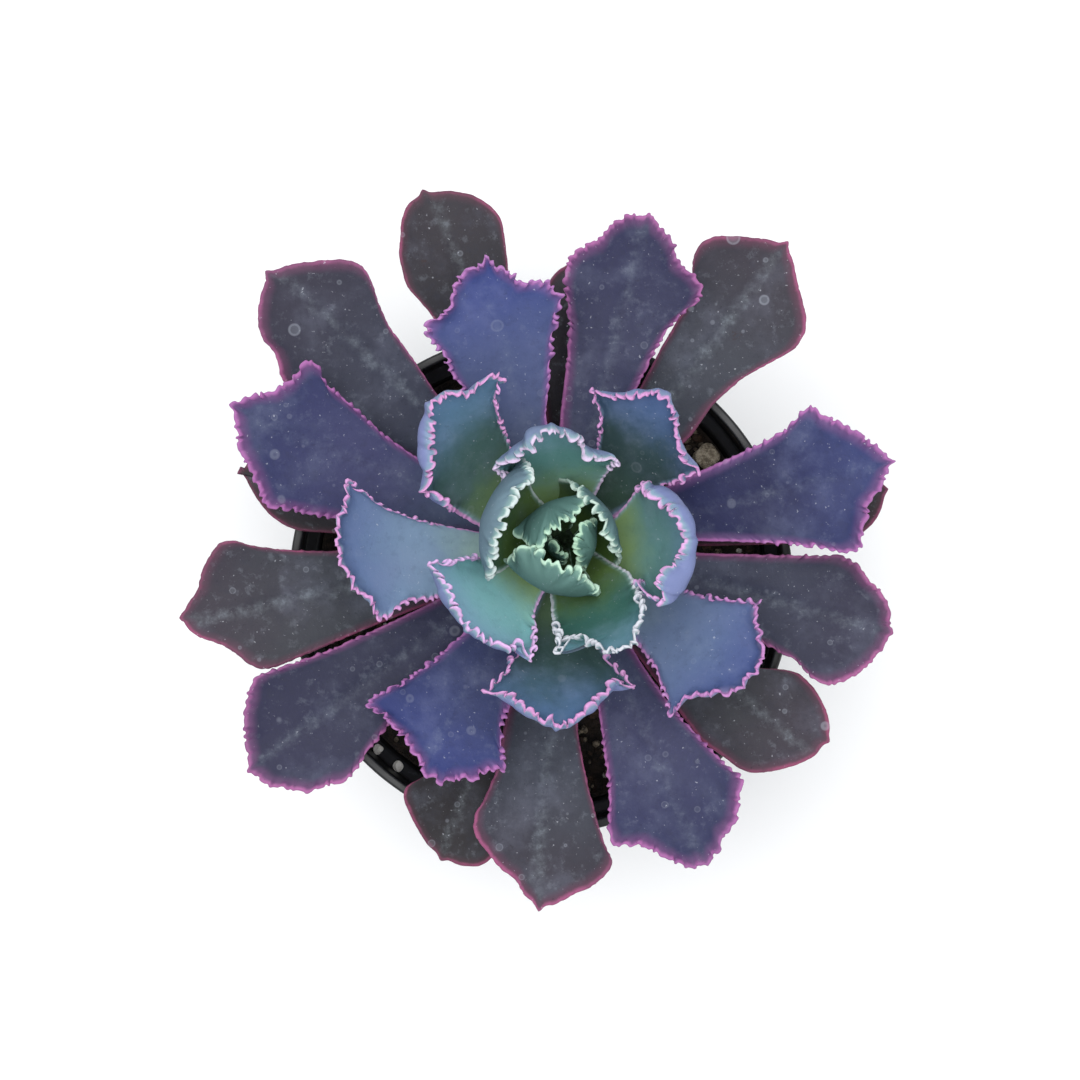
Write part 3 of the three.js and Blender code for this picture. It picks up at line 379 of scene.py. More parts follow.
def half_margin(places, length, tip_across, point, rows):
    """Points [along, across] at even distances from the neck to the tip. The places are joined by straight
    lines and averaged with weights 1, 2, 1 over and over, which blurs by step * sqrt(passes / 2). The little
    point is a bell: it adds point * exp(-(distance from the tip / POINT_WIDTH) ** 2) along the leaf."""
    first = [[0, places[0, 1] * NECK_SHARE / max(0.45, min(1, places[0, 0] / (0.6 * length)))]]
    line = np.concatenate([first, places, [[length - point, tip_across]]])
    run = np.concatenate([[0], np.cumsum(np.hypot(*np.diff(line, axis=0).T))])
    even = np.linspace(0, run[-1], int(run[-1] / MARGIN_STEP))
    line = np.stack([np.interp(even, run, line[:, 0]), np.interp(even, run, line[:, 1])], -1)
    for _ in range(int(2 * (CORNER_ROUNDING / MARGIN_STEP) ** 2)):
        line[1:-1] = (line[:-2] + 2 * line[1:-1] + line[2:]) / 4
    from_tip = np.hypot(*(line - line[-1]).T)
    line[:, 0] += point * np.exp(-((from_tip / POINT_WIDTH) ** 2))
    run = np.concatenate([[0], np.cumsum(np.hypot(*np.diff(line, axis=0).T))])
    even = np.linspace(0, run[-1], rows)
    return np.stack([np.interp(even, run, line[:, 0]), np.interp(even, run, line[:, 1])], -1), even


print("a margin is rounded", int(2 * (CORNER_ROUNDING / MARGIN_STEP) ** 2), "times over")

# %% [markdown]
# ## Measures of one leaf
# The table says where the margin is seen from above, but the leaf is drawn flat. So the slope and the lifted
# sides are undone first: a point that is lifted stands nearer to the stem than it does on the flat leaf.


# %% Measure one leaf
def flattened(far, side, leaf):
    """The flat places of margin points given as they are seen from above, far out and to one side. A lifted
    point moves along the spine by its rise, and the rise depends on where it is, so five rounds settle it."""
    rise = 0 * far
    outer = slice(0, leaf.out.argmax() + 1)
    for _ in range(5):
        x = np.interp(far - leaf.start + rise, leaf.out[outer] * leaf.length, leaf.share[outer])
        alpha = leaf.cup * np.clip((x - CUP_START) / (CUP_END - CUP_START), 0, 1) + 1e-4
        beta = np.arcsin(np.clip(side * alpha / leaf.mean_half, -0.98, 0.98))
        rise = leaf.mean_half * (1 - np.cos(beta)) / alpha * np.sin(np.interp(x, leaf.share, leaf.angle))
    return np.stack([x * leaf.length, leaf.mean_half * beta / alpha], -1)


def measured(number):
    """What growing needs to know of a leaf: its place on the stem, its spine and its two flat margins."""
    (axis, tip, slope, bend, cup, crisp, curl_left, curl_right), left, right = LEAF_ROWS[number - 1]
    leaf = SimpleNamespace(number=number, axis=math.radians(axis), crisp=crisp, curls=(curl_left, curl_right))

    def in_axis(places):
        """Places in degrees and millimetres as distances along and across the leaf's axis."""
        turn = np.radians([p[0] for p in places]) - leaf.axis
        far = np.array([p[1] for p in places]) * MM
        return far * np.cos(turn), far * np.sin(turn)

    (leaf.reach,), (leaf.tip_across,) = in_axis([tip])
    left_out, left_side = in_axis(left)
    right_out, right_side = in_axis(right)
    leaf.base_z = FIRST_LEAF_Z + LEAF_STEP * (number - 1)
    leaf.thick = max(LEAST_THICKNESS, LEAF_THICKNESS * min(1, leaf.reach / FULL_REACH))
    neck_lift = leaf.thick / 2 * math.sin(math.radians(slope))
    leaf.start = stem_radius(leaf.base_z - leaf.thick) + STEM_GAP + neck_lift
    leaf.cup = math.radians(cup)
    leaf.mean_half = (left_side.max() - right_side.min()) / 2 * leaf.cup / math.sin(leaf.cup)
    leaf.share, leaf.out, leaf.up, leaf.angle = spine_of(slope, bend)
    leaf.length = (leaf.reach - leaf.start) / leaf.out.max()
    leaf.margins = (flattened(left_out, left_side, leaf), flattened(right_out, right_side, leaf))
    lean = HEART_LEAN.get(number, 0)
    leaf.grown_length = leaf.length * (1 + lean / 190)
    _, leaf.out, leaf.up, leaf.angle = spine_of(slope, bend, lean)
    leaf.size = min(1.0, 0.62 + leaf.mean_half / (28 * MM))  # small leaves have small frills
    row_step = ROW_STEP if crisp > 0.3 else 2 * ROW_STEP
    leaf.rows = int(1.05 * (leaf.length + leaf.mean_half) / row_step)
    return leaf


print("leaf 20 is", round(measured(20).length / MM, 1), "mm long in", measured(20).rows, "rows a half")

# %% [markdown]
# ## Curl and frills
# Towards its end a leaf's rim curls up and in, less at the corners, which flare open. The frills are one wave
# along the margin: it swings off the face, out of the margin, and along it. The slip along the margin has
# twice the beat, which turns a plain wave into round loops. Slow folds and lobes lie under the fine wave.


# %% Curl, frills and thickness
def curl_along(leaf, side, curl, edge, run, widest):
    """The angle in radians that the rim of each row turns through."""
    toward_end = smooth_step(edge[:, 0] / leaf.length, 0.42, 0.74)
    closing = smooth_step(run, run[-1] - 6 * MM, run[-1])  # both halves agree at the tip
    turn = np.radians(curl * (0.10 + 0.90 * toward_end))
    turn *= 1 + 0.28 * wander(run, 48 + leaf.number * 2 + (side > 0), 22 * MM)
    turn = turn * (1 - closing) + math.radians(sum(leaf.curls) / 2) * closing
    at_corner = np.exp(-(((run - run[widest]) / CORNER_WIDTH) ** 2))
    return np.maximum(turn * (1 - CORNER_FLARE * at_corner), 0.02)


def frills(leaf, side, edge, run, to_edge):
    """How far each point swings off the face, out of the margin and along it: sin(phase), cos(phase) and
    sin(2 phase), each times the row's strength and a fade that is 1 at the margin and 0 at FRILL_DEPTH."""
    seed = 198 + leaf.number * 2 + (side > 0)
    phase = 2 * math.pi * run / (FRILL_PERIOD * leaf.size) + 2.2 * wander(run, seed, 9 * MM)
    strength = leaf.crisp**1.45 * (0.12 + 0.88 * smooth_step(edge[:, 0] / leaf.length, 0.40, 0.66))
    strength = strength * (0.78 + 0.34 * wander(run, seed + 90, 11 * MM))
    strength = strength * (1 - smooth_step(run, run[-1] - 1.5 * MM, run[-1]))
    fade = 1 - smooth_step(to_edge / (FRILL_DEPTH * leaf.size), 0.22, 1.0)
    off_face = FRILL_HEIGHT * leaf.size * (strength * np.sin(phase))[:, None] * fade
    fold = FOLD_HEIGHT * leaf.size * (strength * wander(run, seed + 300, 13 * MM))[:, None]
    off_face = off_face + fold * np.clip(1 - to_edge / (FOLD_DEPTH * leaf.size), 0, 1) ** 2
    outward = (FRILL_REACH * leaf.size * strength * np.cos(phase))[:, None] * fade
    lobe = (LOBE_REACH * leaf.size * strength * wander(run, seed + 500, 8 * MM))[:, None]
    outward = outward + lobe * np.clip(1 - to_edge / LOBE_DEPTH, 0, 1)
    slip = (FRILL_SLIP * leaf.size * strength * np.sin(2 * phase))[:, None] * fade
    return off_face, outward, -side * slip


def half_thickness(leaf, along, to_edge):
    """Half the thickness: it thins from neck to tip and from the middle to the rim, and its last stretch
    follows a quarter circle, sqrt(1 - (1 - t) ** 2), so the edge is round."""
    body = leaf.thick / 2 * (1 - 0.45 * np.clip(along, 0, 1))
    inward = np.clip(to_edge / (0.55 * leaf.mean_half), 0, 1)
    rim = RIM_HALF * leaf.size
    half = rim + (body - rim) * (1 - (1 - inward) ** 2)
    half *= np.sqrt(np.clip(1 - (1 - np.clip(to_edge / ROUND_EDGE, 0, 1)) ** 2, 0, 1))
    return half


print("the margin of a big leaf is", round(2 * RIM_HALF / MM, 2), "mm thick")

# %% [markdown]
# ## Rows from midrib to margin
# One half of the flat leaf is a grid: a row for each step along the margin, and along each row a few wide
# strips over the blade and then narrower and narrower ones over the rim, where the shape changes fast.


# %% One half of a flat leaf
def half_leaf(leaf, side, places, curl):
    """The grid of one half, on the left for side 1 and on the right for side -1: where each point lies flat,
    how far the curl lifts and tilts it, how the frills move it, and how thick the leaf is there."""
    edge, run = half_margin(places, leaf.length, leaf.tip_across, 0.07 * leaf.mean_half, leaf.rows)
    widest = int(np.argmax(side * edge[:, 1]))
    corner = [0, widest / (leaf.rows - 1), 1]
    rib_corner = min(0.85 * edge[widest, 0], 0.66 * leaf.length)
    rib_along = np.interp(np.linspace(0, 1, leaf.rows), corner, [0, rib_corner, RIB_END * leaf.length])
    rib = np.stack([rib_along, leaf.tip_across * (rib_along / leaf.length) ** 2], -1)
    dist = np.hypot(*(edge - rib).T)
    heading = (edge - rib) / dist[:, None]
    tangent = np.gradient(edge, axis=0)
    outward = -side * np.stack([tangent[:, 1], -tangent[:, 0]], -1)
    outward = outward / np.maximum(np.hypot(*outward.T), 1e-9)[:, None]

    turn = curl_along(leaf, side, curl, edge, run, widest)
    rim = min(RIM_WIDTH, 0.42 * leaf.mean_half) * (1 + max(0, curl - 90) / 70)
    width = np.minimum(rim, 0.6 * dist)
    # a curled rim draws the outline in, so the flat leaf is made that much bigger
    dist = dist + width * (1 - np.sin(np.minimum(turn, math.pi / 2)) / turn)
    inner = (dist - width)[:, None] * np.linspace(0, 1, INNER_STRIPS + 1)[None, :-1]
    from_edge = RIM_STATIONS[None, :] * (width / RIM_STATIONS[0])[:, None]
    # the rim is an arc: its length from the start is width * share, and it has turned by turn * share
    turned_by = turn[:, None] * (1 - from_edge / width[:, None])
    rim_out = (dist - width)[:, None] + width[:, None] * np.sin(turned_by) / turn[:, None]
    rim_up = width[:, None] * (1 - np.cos(turned_by)) / turn[:, None]

    to_edge = np.concatenate([dist[:, None] - inner, from_edge], 1)
    off_face, off_margin, slip = frills(leaf, side, edge, run, to_edge)
    flat = rib[:, None, :] + heading[:, None, :] * np.concatenate([inner, rim_out], 1)[..., None]
    return dict(
        flat=flat,
        lift=np.concatenate([np.zeros_like(inner), rim_up], 1),
        tilt=np.concatenate([np.zeros_like(inner), turned_by], 1),
        off_face=off_face,
        off_margin=off_margin,
        slip=slip,
        half=half_thickness(leaf, flat[..., 0] / leaf.length, to_edge),
        heading=heading[:, None, :] + 0 * flat,
        outward=outward[:, None, :] + 0 * flat,
        to_edge=to_edge,
    )


print("a row has", 2 * (INNER_STRIPS + len(RIM_STATIONS)) - 1, "points across a face")

# %% [markdown]
# ## Laying a leaf on its spine
# The flat grid is bent in two steps. Along the leaf it follows the spine. Across it, the sides follow an arc
# that opens from flat at the neck to the full cup, with a shallow groove over the midrib. The rim's curl and
# the frills are then added in the directions that the face has at each point.


# %% Lay a leaf on its spine
def laid_on_spine(leaf, ring, face_sign):
    """The points of the grown leaf, and each point's share along it and place across it. A point is spine +
    arc + curl + frills + half the thickness along the normal, up on the upper face and down on the lower."""
    x, y = ring["flat"][..., 0], ring["flat"][..., 1]
    s = np.clip(x / leaf.length, 0, 1)
    at_out = np.interp(s, leaf.share, leaf.out) * leaf.grown_length
    at_up = np.interp(s, leaf.share, leaf.up) * leaf.grown_length
    beyond = x - s * leaf.length
    slope = np.interp(s, leaf.share, leaf.angle)
    alpha = leaf.cup * np.clip((s - CUP_START) / (CUP_END - CUP_START), 0, 1) + 1e-4
    beta = alpha * y / leaf.mean_half
    sideways = leaf.mean_half * np.sin(beta) / alpha
    rise = leaf.mean_half * (1 - np.cos(beta)) / alpha
    groove = -GROOVE_DEPTH * np.exp(-((y / GROOVE_WIDTH) ** 2)) * smooth_step(s, 0.02, 0.2)
    groove = groove * (1 - smooth_step(s, 0.7, 0.95))
    rise = rise + groove * (leaf.reach / (90 * MM)) ** 0.5

    # directions at each point, as outward, sideways and upward parts
    along = np.stack([np.cos(slope), 0 * s, np.sin(slope)], -1)
    up = np.stack([-np.sin(slope), 0 * s, np.cos(slope)], -1)
    aside = np.broadcast_to([0.0, 1.0, 0.0], up.shape)
    cos_b, sin_b = np.cos(beta)[..., None], np.sin(beta)[..., None]
    across = cos_b * aside + sin_b * up
    normal = cos_b * up - sin_b * aside
    heading = ring["heading"][..., :1] * along + ring["heading"][..., 1:] * across
    outward = ring["outward"][..., :1] * along + ring["outward"][..., 1:] * across
    margin = ring["outward"][..., :1] * across - ring["outward"][..., 1:] * along
    cos_t, sin_t = np.cos(ring["tilt"])[..., None], np.sin(ring["tilt"])[..., None]
    rim_normal = normal * cos_t - heading * sin_t
    rim_outward = outward * cos_t + normal * sin_t

    place = np.stack([leaf.start + at_out, sideways, at_up], -1) + rise[..., None] * up
    place = place + beyond[..., None] * along + ring["lift"][..., None] * normal
    place = place + ring["off_face"][..., None] * rim_normal + ring["off_margin"][..., None] * rim_outward
    place = place + ring["slip"][..., None] * margin
    place = place + (face_sign[None, :] * ring["half"])[..., None] * rim_normal
    ca, sa = math.cos(leaf.axis), math.sin(leaf.axis)
    points = np.stack([
        CROWN[0] + place[..., 0] * ca - place[..., 1] * sa,
        CROWN[1] + place[..., 0] * sa + place[..., 1] * ca,
        leaf.base_z + place[..., 2],
    ], -1)
    return points, s, y


def leaf_faces(rows, columns, pick, face_sign):
    """The faces of the closed leaf. The last row's left and right halves lie on each other, so they share
    their points, and the first row is closed by a cap over the neck."""
    count = len(pick)
    number = np.arange(rows * count).reshape(rows, count)
    partner = np.minimum(pick, columns - 1 - pick)
    lower = 2 * columns - 2 - partner
    number[-1] = number[-1, 0] + np.where((face_sign < 0) & (partner > 0), lower, partner)
    after = np.roll(number, -1, 1)
    sides = np.stack([number[:-1], after[:-1], after[1:], number[1:]], -1).reshape(-1, 4)
    top, low = number[0, :columns], number[0, columns:][::-1]
    cap = np.stack([top[1:-2], low[:-1], low[1:], top[2:-1]], -1)
    ends = np.array([[top[0], low[0], top[1], top[1]], [top[-2], low[-1], top[-1], top[-1]]])
    return np.concatenate([sides, cap, ends])


def grow_leaf(number):
    """One leaf as a closed surface. A row is one ring of points: the upper face from left margin over the
    midrib to right margin, and the lower face back again."""
    leaf = measured(number)
    left, right = (half_leaf(leaf, *half) for half in zip((1, -1), leaf.margins, leaf.curls))
    joined = {key: np.concatenate([left[key][:, ::-1], right[key][:, 1:]], 1) for key in left}
    columns = joined["lift"].shape[1]
    face_sign = np.concatenate([np.ones(columns), -np.ones(columns - 2)])
    pick = np.concatenate([np.arange(columns), np.arange(columns - 2, 0, -1)])
    ring = {key: value[:, pick] for key, value in joined.items()}
    points, along, across = laid_on_spine(leaf, ring, face_sign)
    attributes = {
        "along": along,
        "rim": ring["to_edge"] / MM,
        "under": np.broadcast_to(face_sign[None, :] < 0, along.shape).astype(float),
        "across": across / leaf.mean_half,
    }
    faces = leaf_faces(len(points), columns, pick, face_sign)
    return points.reshape(-1, 3), faces, {key: value.reshape(-1) for key, value in attributes.items()}


print("a row's ring has", 4 * (INNER_STRIPS + len(RIM_STATIONS)) - 4, "points")

# %% [markdown]
# ## Finishes: helpers
# Colours are written as sRGB hex, as a paint chart gives them, and one function turns them to the linear
# values that Blender mixes. One small function adds a node with its settings and its links.


# %% Colours and nodes
def linear(code):
    """sRGB hex to linear RGBA: c / 12.92 below 0.04045, else ((c + 0.055) / 1.055) ** 2.4."""
    c = np.array([int(code[i : i + 2], 16) for i in (0, 2, 4)]) / 255
    c = np.where(c <= 0.04045, c / 12.92, ((c + 0.055) / 1.055) ** 2.4)
    return (*c, 1.0)


def add(tree, kind, settings=None, links=None):
    """One node: settings are its own values or its sockets' values, and links join a socket to another
    node's output, given as (node, output name or number)."""
    node = tree.nodes.new(kind)
    for key, value in (settings or {}).items():
        if isinstance(key, int) or key in node.inputs:
            node.inputs[key].default_value = value
        else:
            setattr(node, key, value)
    for key, (source, output) in (links or {}).items():
        tree.links.new(source.outputs[output], node.inputs[key])
    return node


def new_finish(name):
    """An empty material with its Principled shader."""
    material = bpy.data.materials.new(name)
    material.use_nodes = True
    tree = material.node_tree
    shader = next(n for n in tree.nodes if n.type == "BSDF_PRINCIPLED")
    return material, tree, shader


def mix_colour(tree, low, high, factor, blend="MIX"):
    """Mixes two colours, each a hex code or a (node, output) pair, by a number or a (node, output) pair."""
    node = add(tree, "ShaderNodeMix", {"data_type": "RGBA", "blend_type": blend})
    for socket, value in ((node.inputs[6], low), (node.inputs[7], high), (node.inputs[0], factor)):
        if isinstance(value, tuple):
            tree.links.new(value[0].outputs[value[1]], socket)
        elif isinstance(value, str):
            socket.default_value = linear(value)
        else:
            socket.default_value = value
    return node, 2


def ramp(tree, source, low, high):
    """A number that rises smoothly from 0 where source is low to 1 where it is high."""
    kind = {"interpolation_type": "SMOOTHSTEP", "From Min": low, "From Max": high}
    return add(tree, "ShaderNodeMapRange", kind, {"Value": source}), 0


def maths(tree, a, b, operation="MULTIPLY"):
    """Two numbers joined by an arithmetic step; each is a number or a (node, output) pair."""
    node = add(tree, "ShaderNodeMath", {"operation": operation})
    for socket, value in zip(node.inputs, (a, b)):
        if isinstance(value, tuple):
            tree.links.new(value[0].outputs[value[1]], socket)
        else:
            socket.default_value = value
    return node, 0


print("finish helpers ready")

# %% [markdown]
# ## The leaf's finish
# An echeveria leaf is waxy flesh under farina, a powder of wax that the plant grows. It scatters light, so
# the leaf looks matt and bluish, with darker skin where the powder is thin, rubbed or washed by drops. Flesh
# lets a little light in, so there is some subsurface scattering with a short reach. Colour follows the leaf:
# base, middle and outer colours from neck to tip, and pink at the margin where sunlight reddens it. Old
# leaves lose powder and turn plum. So the material reads each leaf's own attributes: how far along, how far
# from the margin in millimetres, how far across, and which face. Powder blotches are about 15 mm wide with
# 3 mm mottling in them, drop marks 1 to 3 mm, and the fine speckle is drawn at 0.9 mm, coarser than real
# powder, so that it shows.

# %% Leaf finish
LEAF_IOR = 1.40  # wax over water-filled flesh


def leaf_finish(name, base, middle, outer, margin, halo, under, wear, halo_width):
    """Farina-covered leaf skin. base, middle and outer colour the upper face from neck to tip, under the
    lower face and any rim that curls over. margin is the thin coloured edge and halo the soft band inside
    it, halo_width mm wide. wear from 0 to 1 is how much powder is gone."""
    material, tree, shader = new_finish(name)
    spot = (add(tree, "ShaderNodeTexCoord"), "Object")
    along = (add(tree, "ShaderNodeAttribute", {"attribute_name": "along"}), "Fac")
    rim = (add(tree, "ShaderNodeAttribute", {"attribute_name": "rim"}), "Fac")
    lower = (add(tree, "ShaderNodeAttribute", {"attribute_name": "under"}), "Fac")
    across = (add(tree, "ShaderNodeAttribute", {"attribute_name": "across"}), "Fac")

    def noise(size, detail, rough):
        """Noise with features about size mm wide."""
        sizes = {"Scale": 1000 / size, "Detail": detail, "Roughness": rough}
        return add(tree, "ShaderNodeTexNoise", sizes, {"Vector": spot}), "Fac"

    blotch, mottle, speck = noise(15, 5.0, 0.62), noise(3.2, 4.0, 0.7), noise(0.9, 2.0, 0.6)
    # the smooth colours, with their borders shifted by the blotches
    shifted = maths(tree, along, maths(tree, maths(tree, blotch, 0.5, "SUBTRACT"), 0.35), "ADD")
    colour = mix_colour(tree, base, middle, ramp(tree, shifted, 0.20, 0.55))
    colour = mix_colour(tree, colour, outer, ramp(tree, shifted, 0.55, 0.95))
    # the midrib shows as a paler, uneven streak
    near_rib = ramp(tree, maths(tree, across, 0, "ABSOLUTE"), 0.16, 0.0)
    rib = maths(tree, near_rib, ramp(tree, mottle, 0.35, 0.7))
    colour = mix_colour(tree, colour, "8f9ba2", maths(tree, rib, 0.03 + 0.17 * wear))
    # powder: paler where it lies thick, darker where it is thin
    for paint, source, low, high, amount in (
        ("a3abc0", blotch, 0.46, 0.75, 0.10),
        ("1f2230", mottle, 0.50, 0.30, 0.10 + 0.22 * wear),
        ("a0a8b4", mottle, 0.54, 0.72, 0.04 + 0.08 * wear),
    ):
        colour = mix_colour(tree, colour, paint, maths(tree, ramp(tree, source, low, high), amount))
    # under face, then halo and margin over both
    colour = mix_colour(tree, colour, under, lower)
    wobble = maths(tree, maths(tree, maths(tree, mottle, 0.5, "SUBTRACT"), 1.2), rim, "ADD")
    colour = mix_colour(tree, halo, colour, ramp(tree, wobble, 0.3, halo_width))
    line = 0.42 + 0.16 * (1 - wear)
    edge = ramp(tree, wobble, line + 0.15 + 0.20 * halo_width, line - 0.05 * halo_width)
    patches = maths(tree, ramp(tree, blotch, 0.40, 0.60), 0.7 * wear)
    patchy = maths(tree, patches, 1 - 0.7 * wear, "ADD")
    colour = mix_colour(tree, colour, margin, maths(tree, edge, patchy))
    # washed drop marks, 1 to 3 mm wide: a pale ring with a faintly pale middle
    for cell, share in ((11, 0.5), (6, 0.32)):
        drops = add(tree, "ShaderNodeTexVoronoi", {"Scale": 1000 / cell, "Randomness": 1.0}, {"Vector": spot})
        chosen = add(tree, "ShaderNodeSeparateColor", {}, {"Color": (drops, "Color")})
        picked = ramp(tree, (chosen, 0), 0.62, 0.60)
        radius = maths(tree, maths(tree, (chosen, 1), 0.10), 0.05, "ADD")
        beyond = maths(tree, (drops, "Distance"), radius, "SUBTRACT")
        ring = maths(tree, ramp(tree, maths(tree, beyond, 0, "ABSOLUTE"), 0.035, 0.005), picked)
        inside = maths(tree, ramp(tree, beyond, 0.0, -0.02), picked)
        colour = mix_colour(tree, colour, "b4bac6", maths(tree, ring, share * (0.10 + 0.36 * wear)))
        colour = mix_colour(tree, colour, "8d939c", maths(tree, inside, share * (0.075 + 0.3 * wear)))
    # scattered pale dust, brown scars and dark specks
    colour = mix_colour(tree, colour, "d5d9e2", maths(tree, ramp(tree, speck, 0.69, 0.76), 0.30))
    scar = maths(tree, ramp(tree, noise(19, 6.0, 0.78), 0.655, 0.70), ramp(tree, mottle, 0.38, 0.55))
    colour = mix_colour(tree, colour, "2b1a1a", maths(tree, scar, 0.25 + 0.60 * wear))
    dark = maths(tree, ramp(tree, speck, 0.36, 0.27), 0.10 + 0.35 * wear)
    colour = mix_colour(tree, colour, "15151f", dark)
    tree.links.new(colour[0].outputs[colour[1]], shader.inputs["Base Color"])
    rough = add(tree, "ShaderNodeMapRange", {"To Min": 0.44, "To Max": 0.66}, {"Value": blotch})
    tree.links.new(rough.outputs[0], shader.inputs["Roughness"])
    shader.inputs["IOR"].default_value = LEAF_IOR
    shader.inputs["Specular IOR Level"].default_value = 0.35  # powder breaks up the skin's reflection
    shader.inputs["Subsurface Weight"].default_value = 0.08
    shader.inputs["Subsurface Radius"].default_value = (0.5, 0.7, 0.6)
    shader.inputs["Subsurface Scale"].default_value = 1.0 * MM
    # powder grain and soft dimples
    grain = add(tree, "ShaderNodeBump", {"Strength": 0.35, "Distance": 0.10 * MM}, {"Height": speck})
    soft = {"Strength": 0.30, "Distance": 0.35 * MM}
    dimple = add(tree, "ShaderNodeBump", soft, {"Height": mottle, "Normal": (grain, 0)})
    tree.links.new(dimple.outputs[0], shader.inputs["Normal"])
    return material


print("leaf finish ready, index of refraction", LEAF_IOR)

# %% [markdown]
# ## Colours by age
# The palette is a list of stages from the oldest leaf to the youngest: plum and worn at first, then blue,
# then green in the heart. The first rows are also darkened nearly to black, which is painted shade: the
# oldest leaves lie low, under the younger ones. Each stage starts with the number of the leaf that has it.
# A leaf between two stages gets colours mixed from both, so neighbours differ a little, as on a real plant.

# %% Palette
STAGES = [
    # leaf, base, middle, outer, margin, halo, under, wear, halo width in mm
    # the oldest leaves: their worn plum colour with painted shade over it, darkened nearly to black
    (1, "18161a", "201c22", "252025", "783656", "3b212d", "221c24", 0.9, 2.6),
    # leaf 4 is darkest of all: painted shade, as it lies deep under the younger leaves
    (4, "100e14", "181419", "1a161b", "7e3c5a", "38202a", "261f2a", 0.9, 2.8),
    (6, "24282e", "2a2c32", "302a34", "823e5c", "4a2f3e", "302c3a", 0.95, 3.6),
    (9, "343c46", "303440", "241f2a", "8a466a", "4e2c40", "343244", 0.85, 3.8),
    (12, "34364e", "24263c", "1c1c38", "965888", "5f3a60", "3e3e58", 0.6, 4.0),
    (15, "4c566e", "36385a", "1c224c", "985d94", "613e6a", "4a4e70", 0.36, 4.6),
    (16, "2c3054", "1c1f42", "2e3662", "9c6098", "664874", "545c80", 0.3, 4.6),
    (18, "56607a", "465074", "343f74", "a26ca4", "6b5184", "626c93", 0.2, 4.4),
    (20, "98b6ac", "748ba3", "506287", "c089ba", "8698ad", "6c799f", 0.1, 3.0),
    (21, "30453a", "2b3e40", "4e6590", "c089ba", "73869e", "6a769f", 0.07, 2.8),
    (23, "6e8858", "3e5855", "547594", "c68ebe", "7b97a2", "6e769f", 0.05, 2.8),
    (25, "8caa70", "74a6a8", "80a4bc", "c9a3cf", "86a6a9", "6a769c", 0.03, 2.4),
    (27, "5a753f", "376058", "5c8494", "bec0c8", "84a29e", "687a8e", 0.02, 2.3),
    (30, "3e5725", "2c4c42", "48746a", "b0ceb9", "759989", "54756f", 0.0, 1.8),
    (33, "243c1a", "1e4034", "30584c", "98b9a0", "678e7b", "496a62", 0.0, 1.4),
]


def stage_of(leaf):
    """The finish of a leaf by its number: the row of the palette at that number, or a mix of the two rows
    around it, each colour mixed channel by channel."""
    after = next(i for i, row in enumerate(STAGES) if row[0] >= leaf)
    low, high = STAGES[max(0, after - 1)], STAGES[after]
    share = 1 if high is low else (leaf - low[0]) / (high[0] - low[0])
    colours = []
    for a, b in zip(low[1:7], high[1:7]):
        channels = [(int(a[i : i + 2], 16), int(b[i : i + 2], 16)) for i in (0, 2, 4)]
        colours.append("".join(f"{round(x + (y - x) * share):02x}" for x, y in channels))
    return [*colours, low[7] + (high[7] - low[7]) * share, low[8] + (high[8] - low[8]) * share]


print("palette rows:", len(STAGES))


for number, node in enumerate(leaf_nodes, 1):
    points, faces, attributes = grow_leaf(number)
    leaf = add_piece(f"frilled_{node}", points, faces, [node], attributes)
    leaf.data.materials.append(leaf_finish(f"farina_skin_{number:02d}", *stage_of(number)))
print("leaves grown, last one with", len(faces), "faces")

# %% [markdown]
# ## The pot
# A nursery pot is thin polypropylene, injected into a steel mould: satin, with rounded edges, a wide band
# under the lip for stacking, and drain holes in its foot. Its wall is a line of points turned round the axis;
# each corner of the line is swapped for a small curve. The holes are cut by a Boolean that is applied.


# %% Turned surfaces
def rounded(corners, radius, steps=5):
    """Swaps each inner corner of a line for a quadratic curve (1-t)^2 a + 2t(1-t) b + t^2 c, which starts and
    ends at radius from the corner, or at 0.45 of a shorter side."""
    corners = np.array(corners, float)
    points = [corners[:1]]
    t = np.linspace(0, 1, steps)[:, None]
    for before, corner, after in zip(corners, corners[1:], corners[2:]):
        reach_in = min(radius, 0.45 * np.hypot(*(corner - before)))
        reach_out = min(radius, 0.45 * np.hypot(*(after - corner)))
        a = corner + (before - corner) / np.hypot(*(before - corner)) * reach_in
        c = corner + (after - corner) / np.hypot(*(after - corner)) * reach_out
        points.append((1 - t) ** 2 * a + 2 * t * (1 - t) * corner + t**2 * c)
    points.append(corners[-1:])
    return np.concatenate(points)


def turned(line, sides, centre=(0, 0), wobble=None):
    """Turns a line of (radius, height), from the axis below to the axis above, round the vertical: x = r cos,
    y = r sin. wobble may add to radius and height at each angle. The two ends are single points."""
    angle = np.linspace(0, 2 * math.pi, sides, endpoint=False)
    radius = np.repeat(line[1:-1, :1], sides, 1)
    height = np.repeat(line[1:-1, 1:], sides, 1)
    if wobble is not None:
        radius, height = wobble(radius, height, angle[None, :] + 0 * radius)
    body = np.stack([centre[0] + radius * np.cos(angle), centre[1] + radius * np.sin(angle), height], -1)
    rings = len(line) - 2
    ends = np.array([[*centre, line[0, 1]], [*centre, line[-1, 1]]])
    points = np.concatenate([body.reshape(-1, 3), ends])
    number = np.arange(rings * sides).reshape(rings, sides)
    after = np.roll(number, -1, 1)
    walls = np.stack([number[:-1], after[:-1], after[1:], number[1:]], -1).reshape(-1, 4)
    low, high = rings * sides, rings * sides + 1
    bottom = np.stack([0 * number[0] + low, after[0], number[0], number[0]], -1)
    top = np.stack([number[-1], after[-1], 0 * number[-1] + high, 0 * number[-1] + high], -1)
    return points, np.concatenate([walls, bottom, top])


print("a rounded corner has", len(rounded([(0, 0), (1, 0), (1, 1)], 0.1)) - 2, "points")


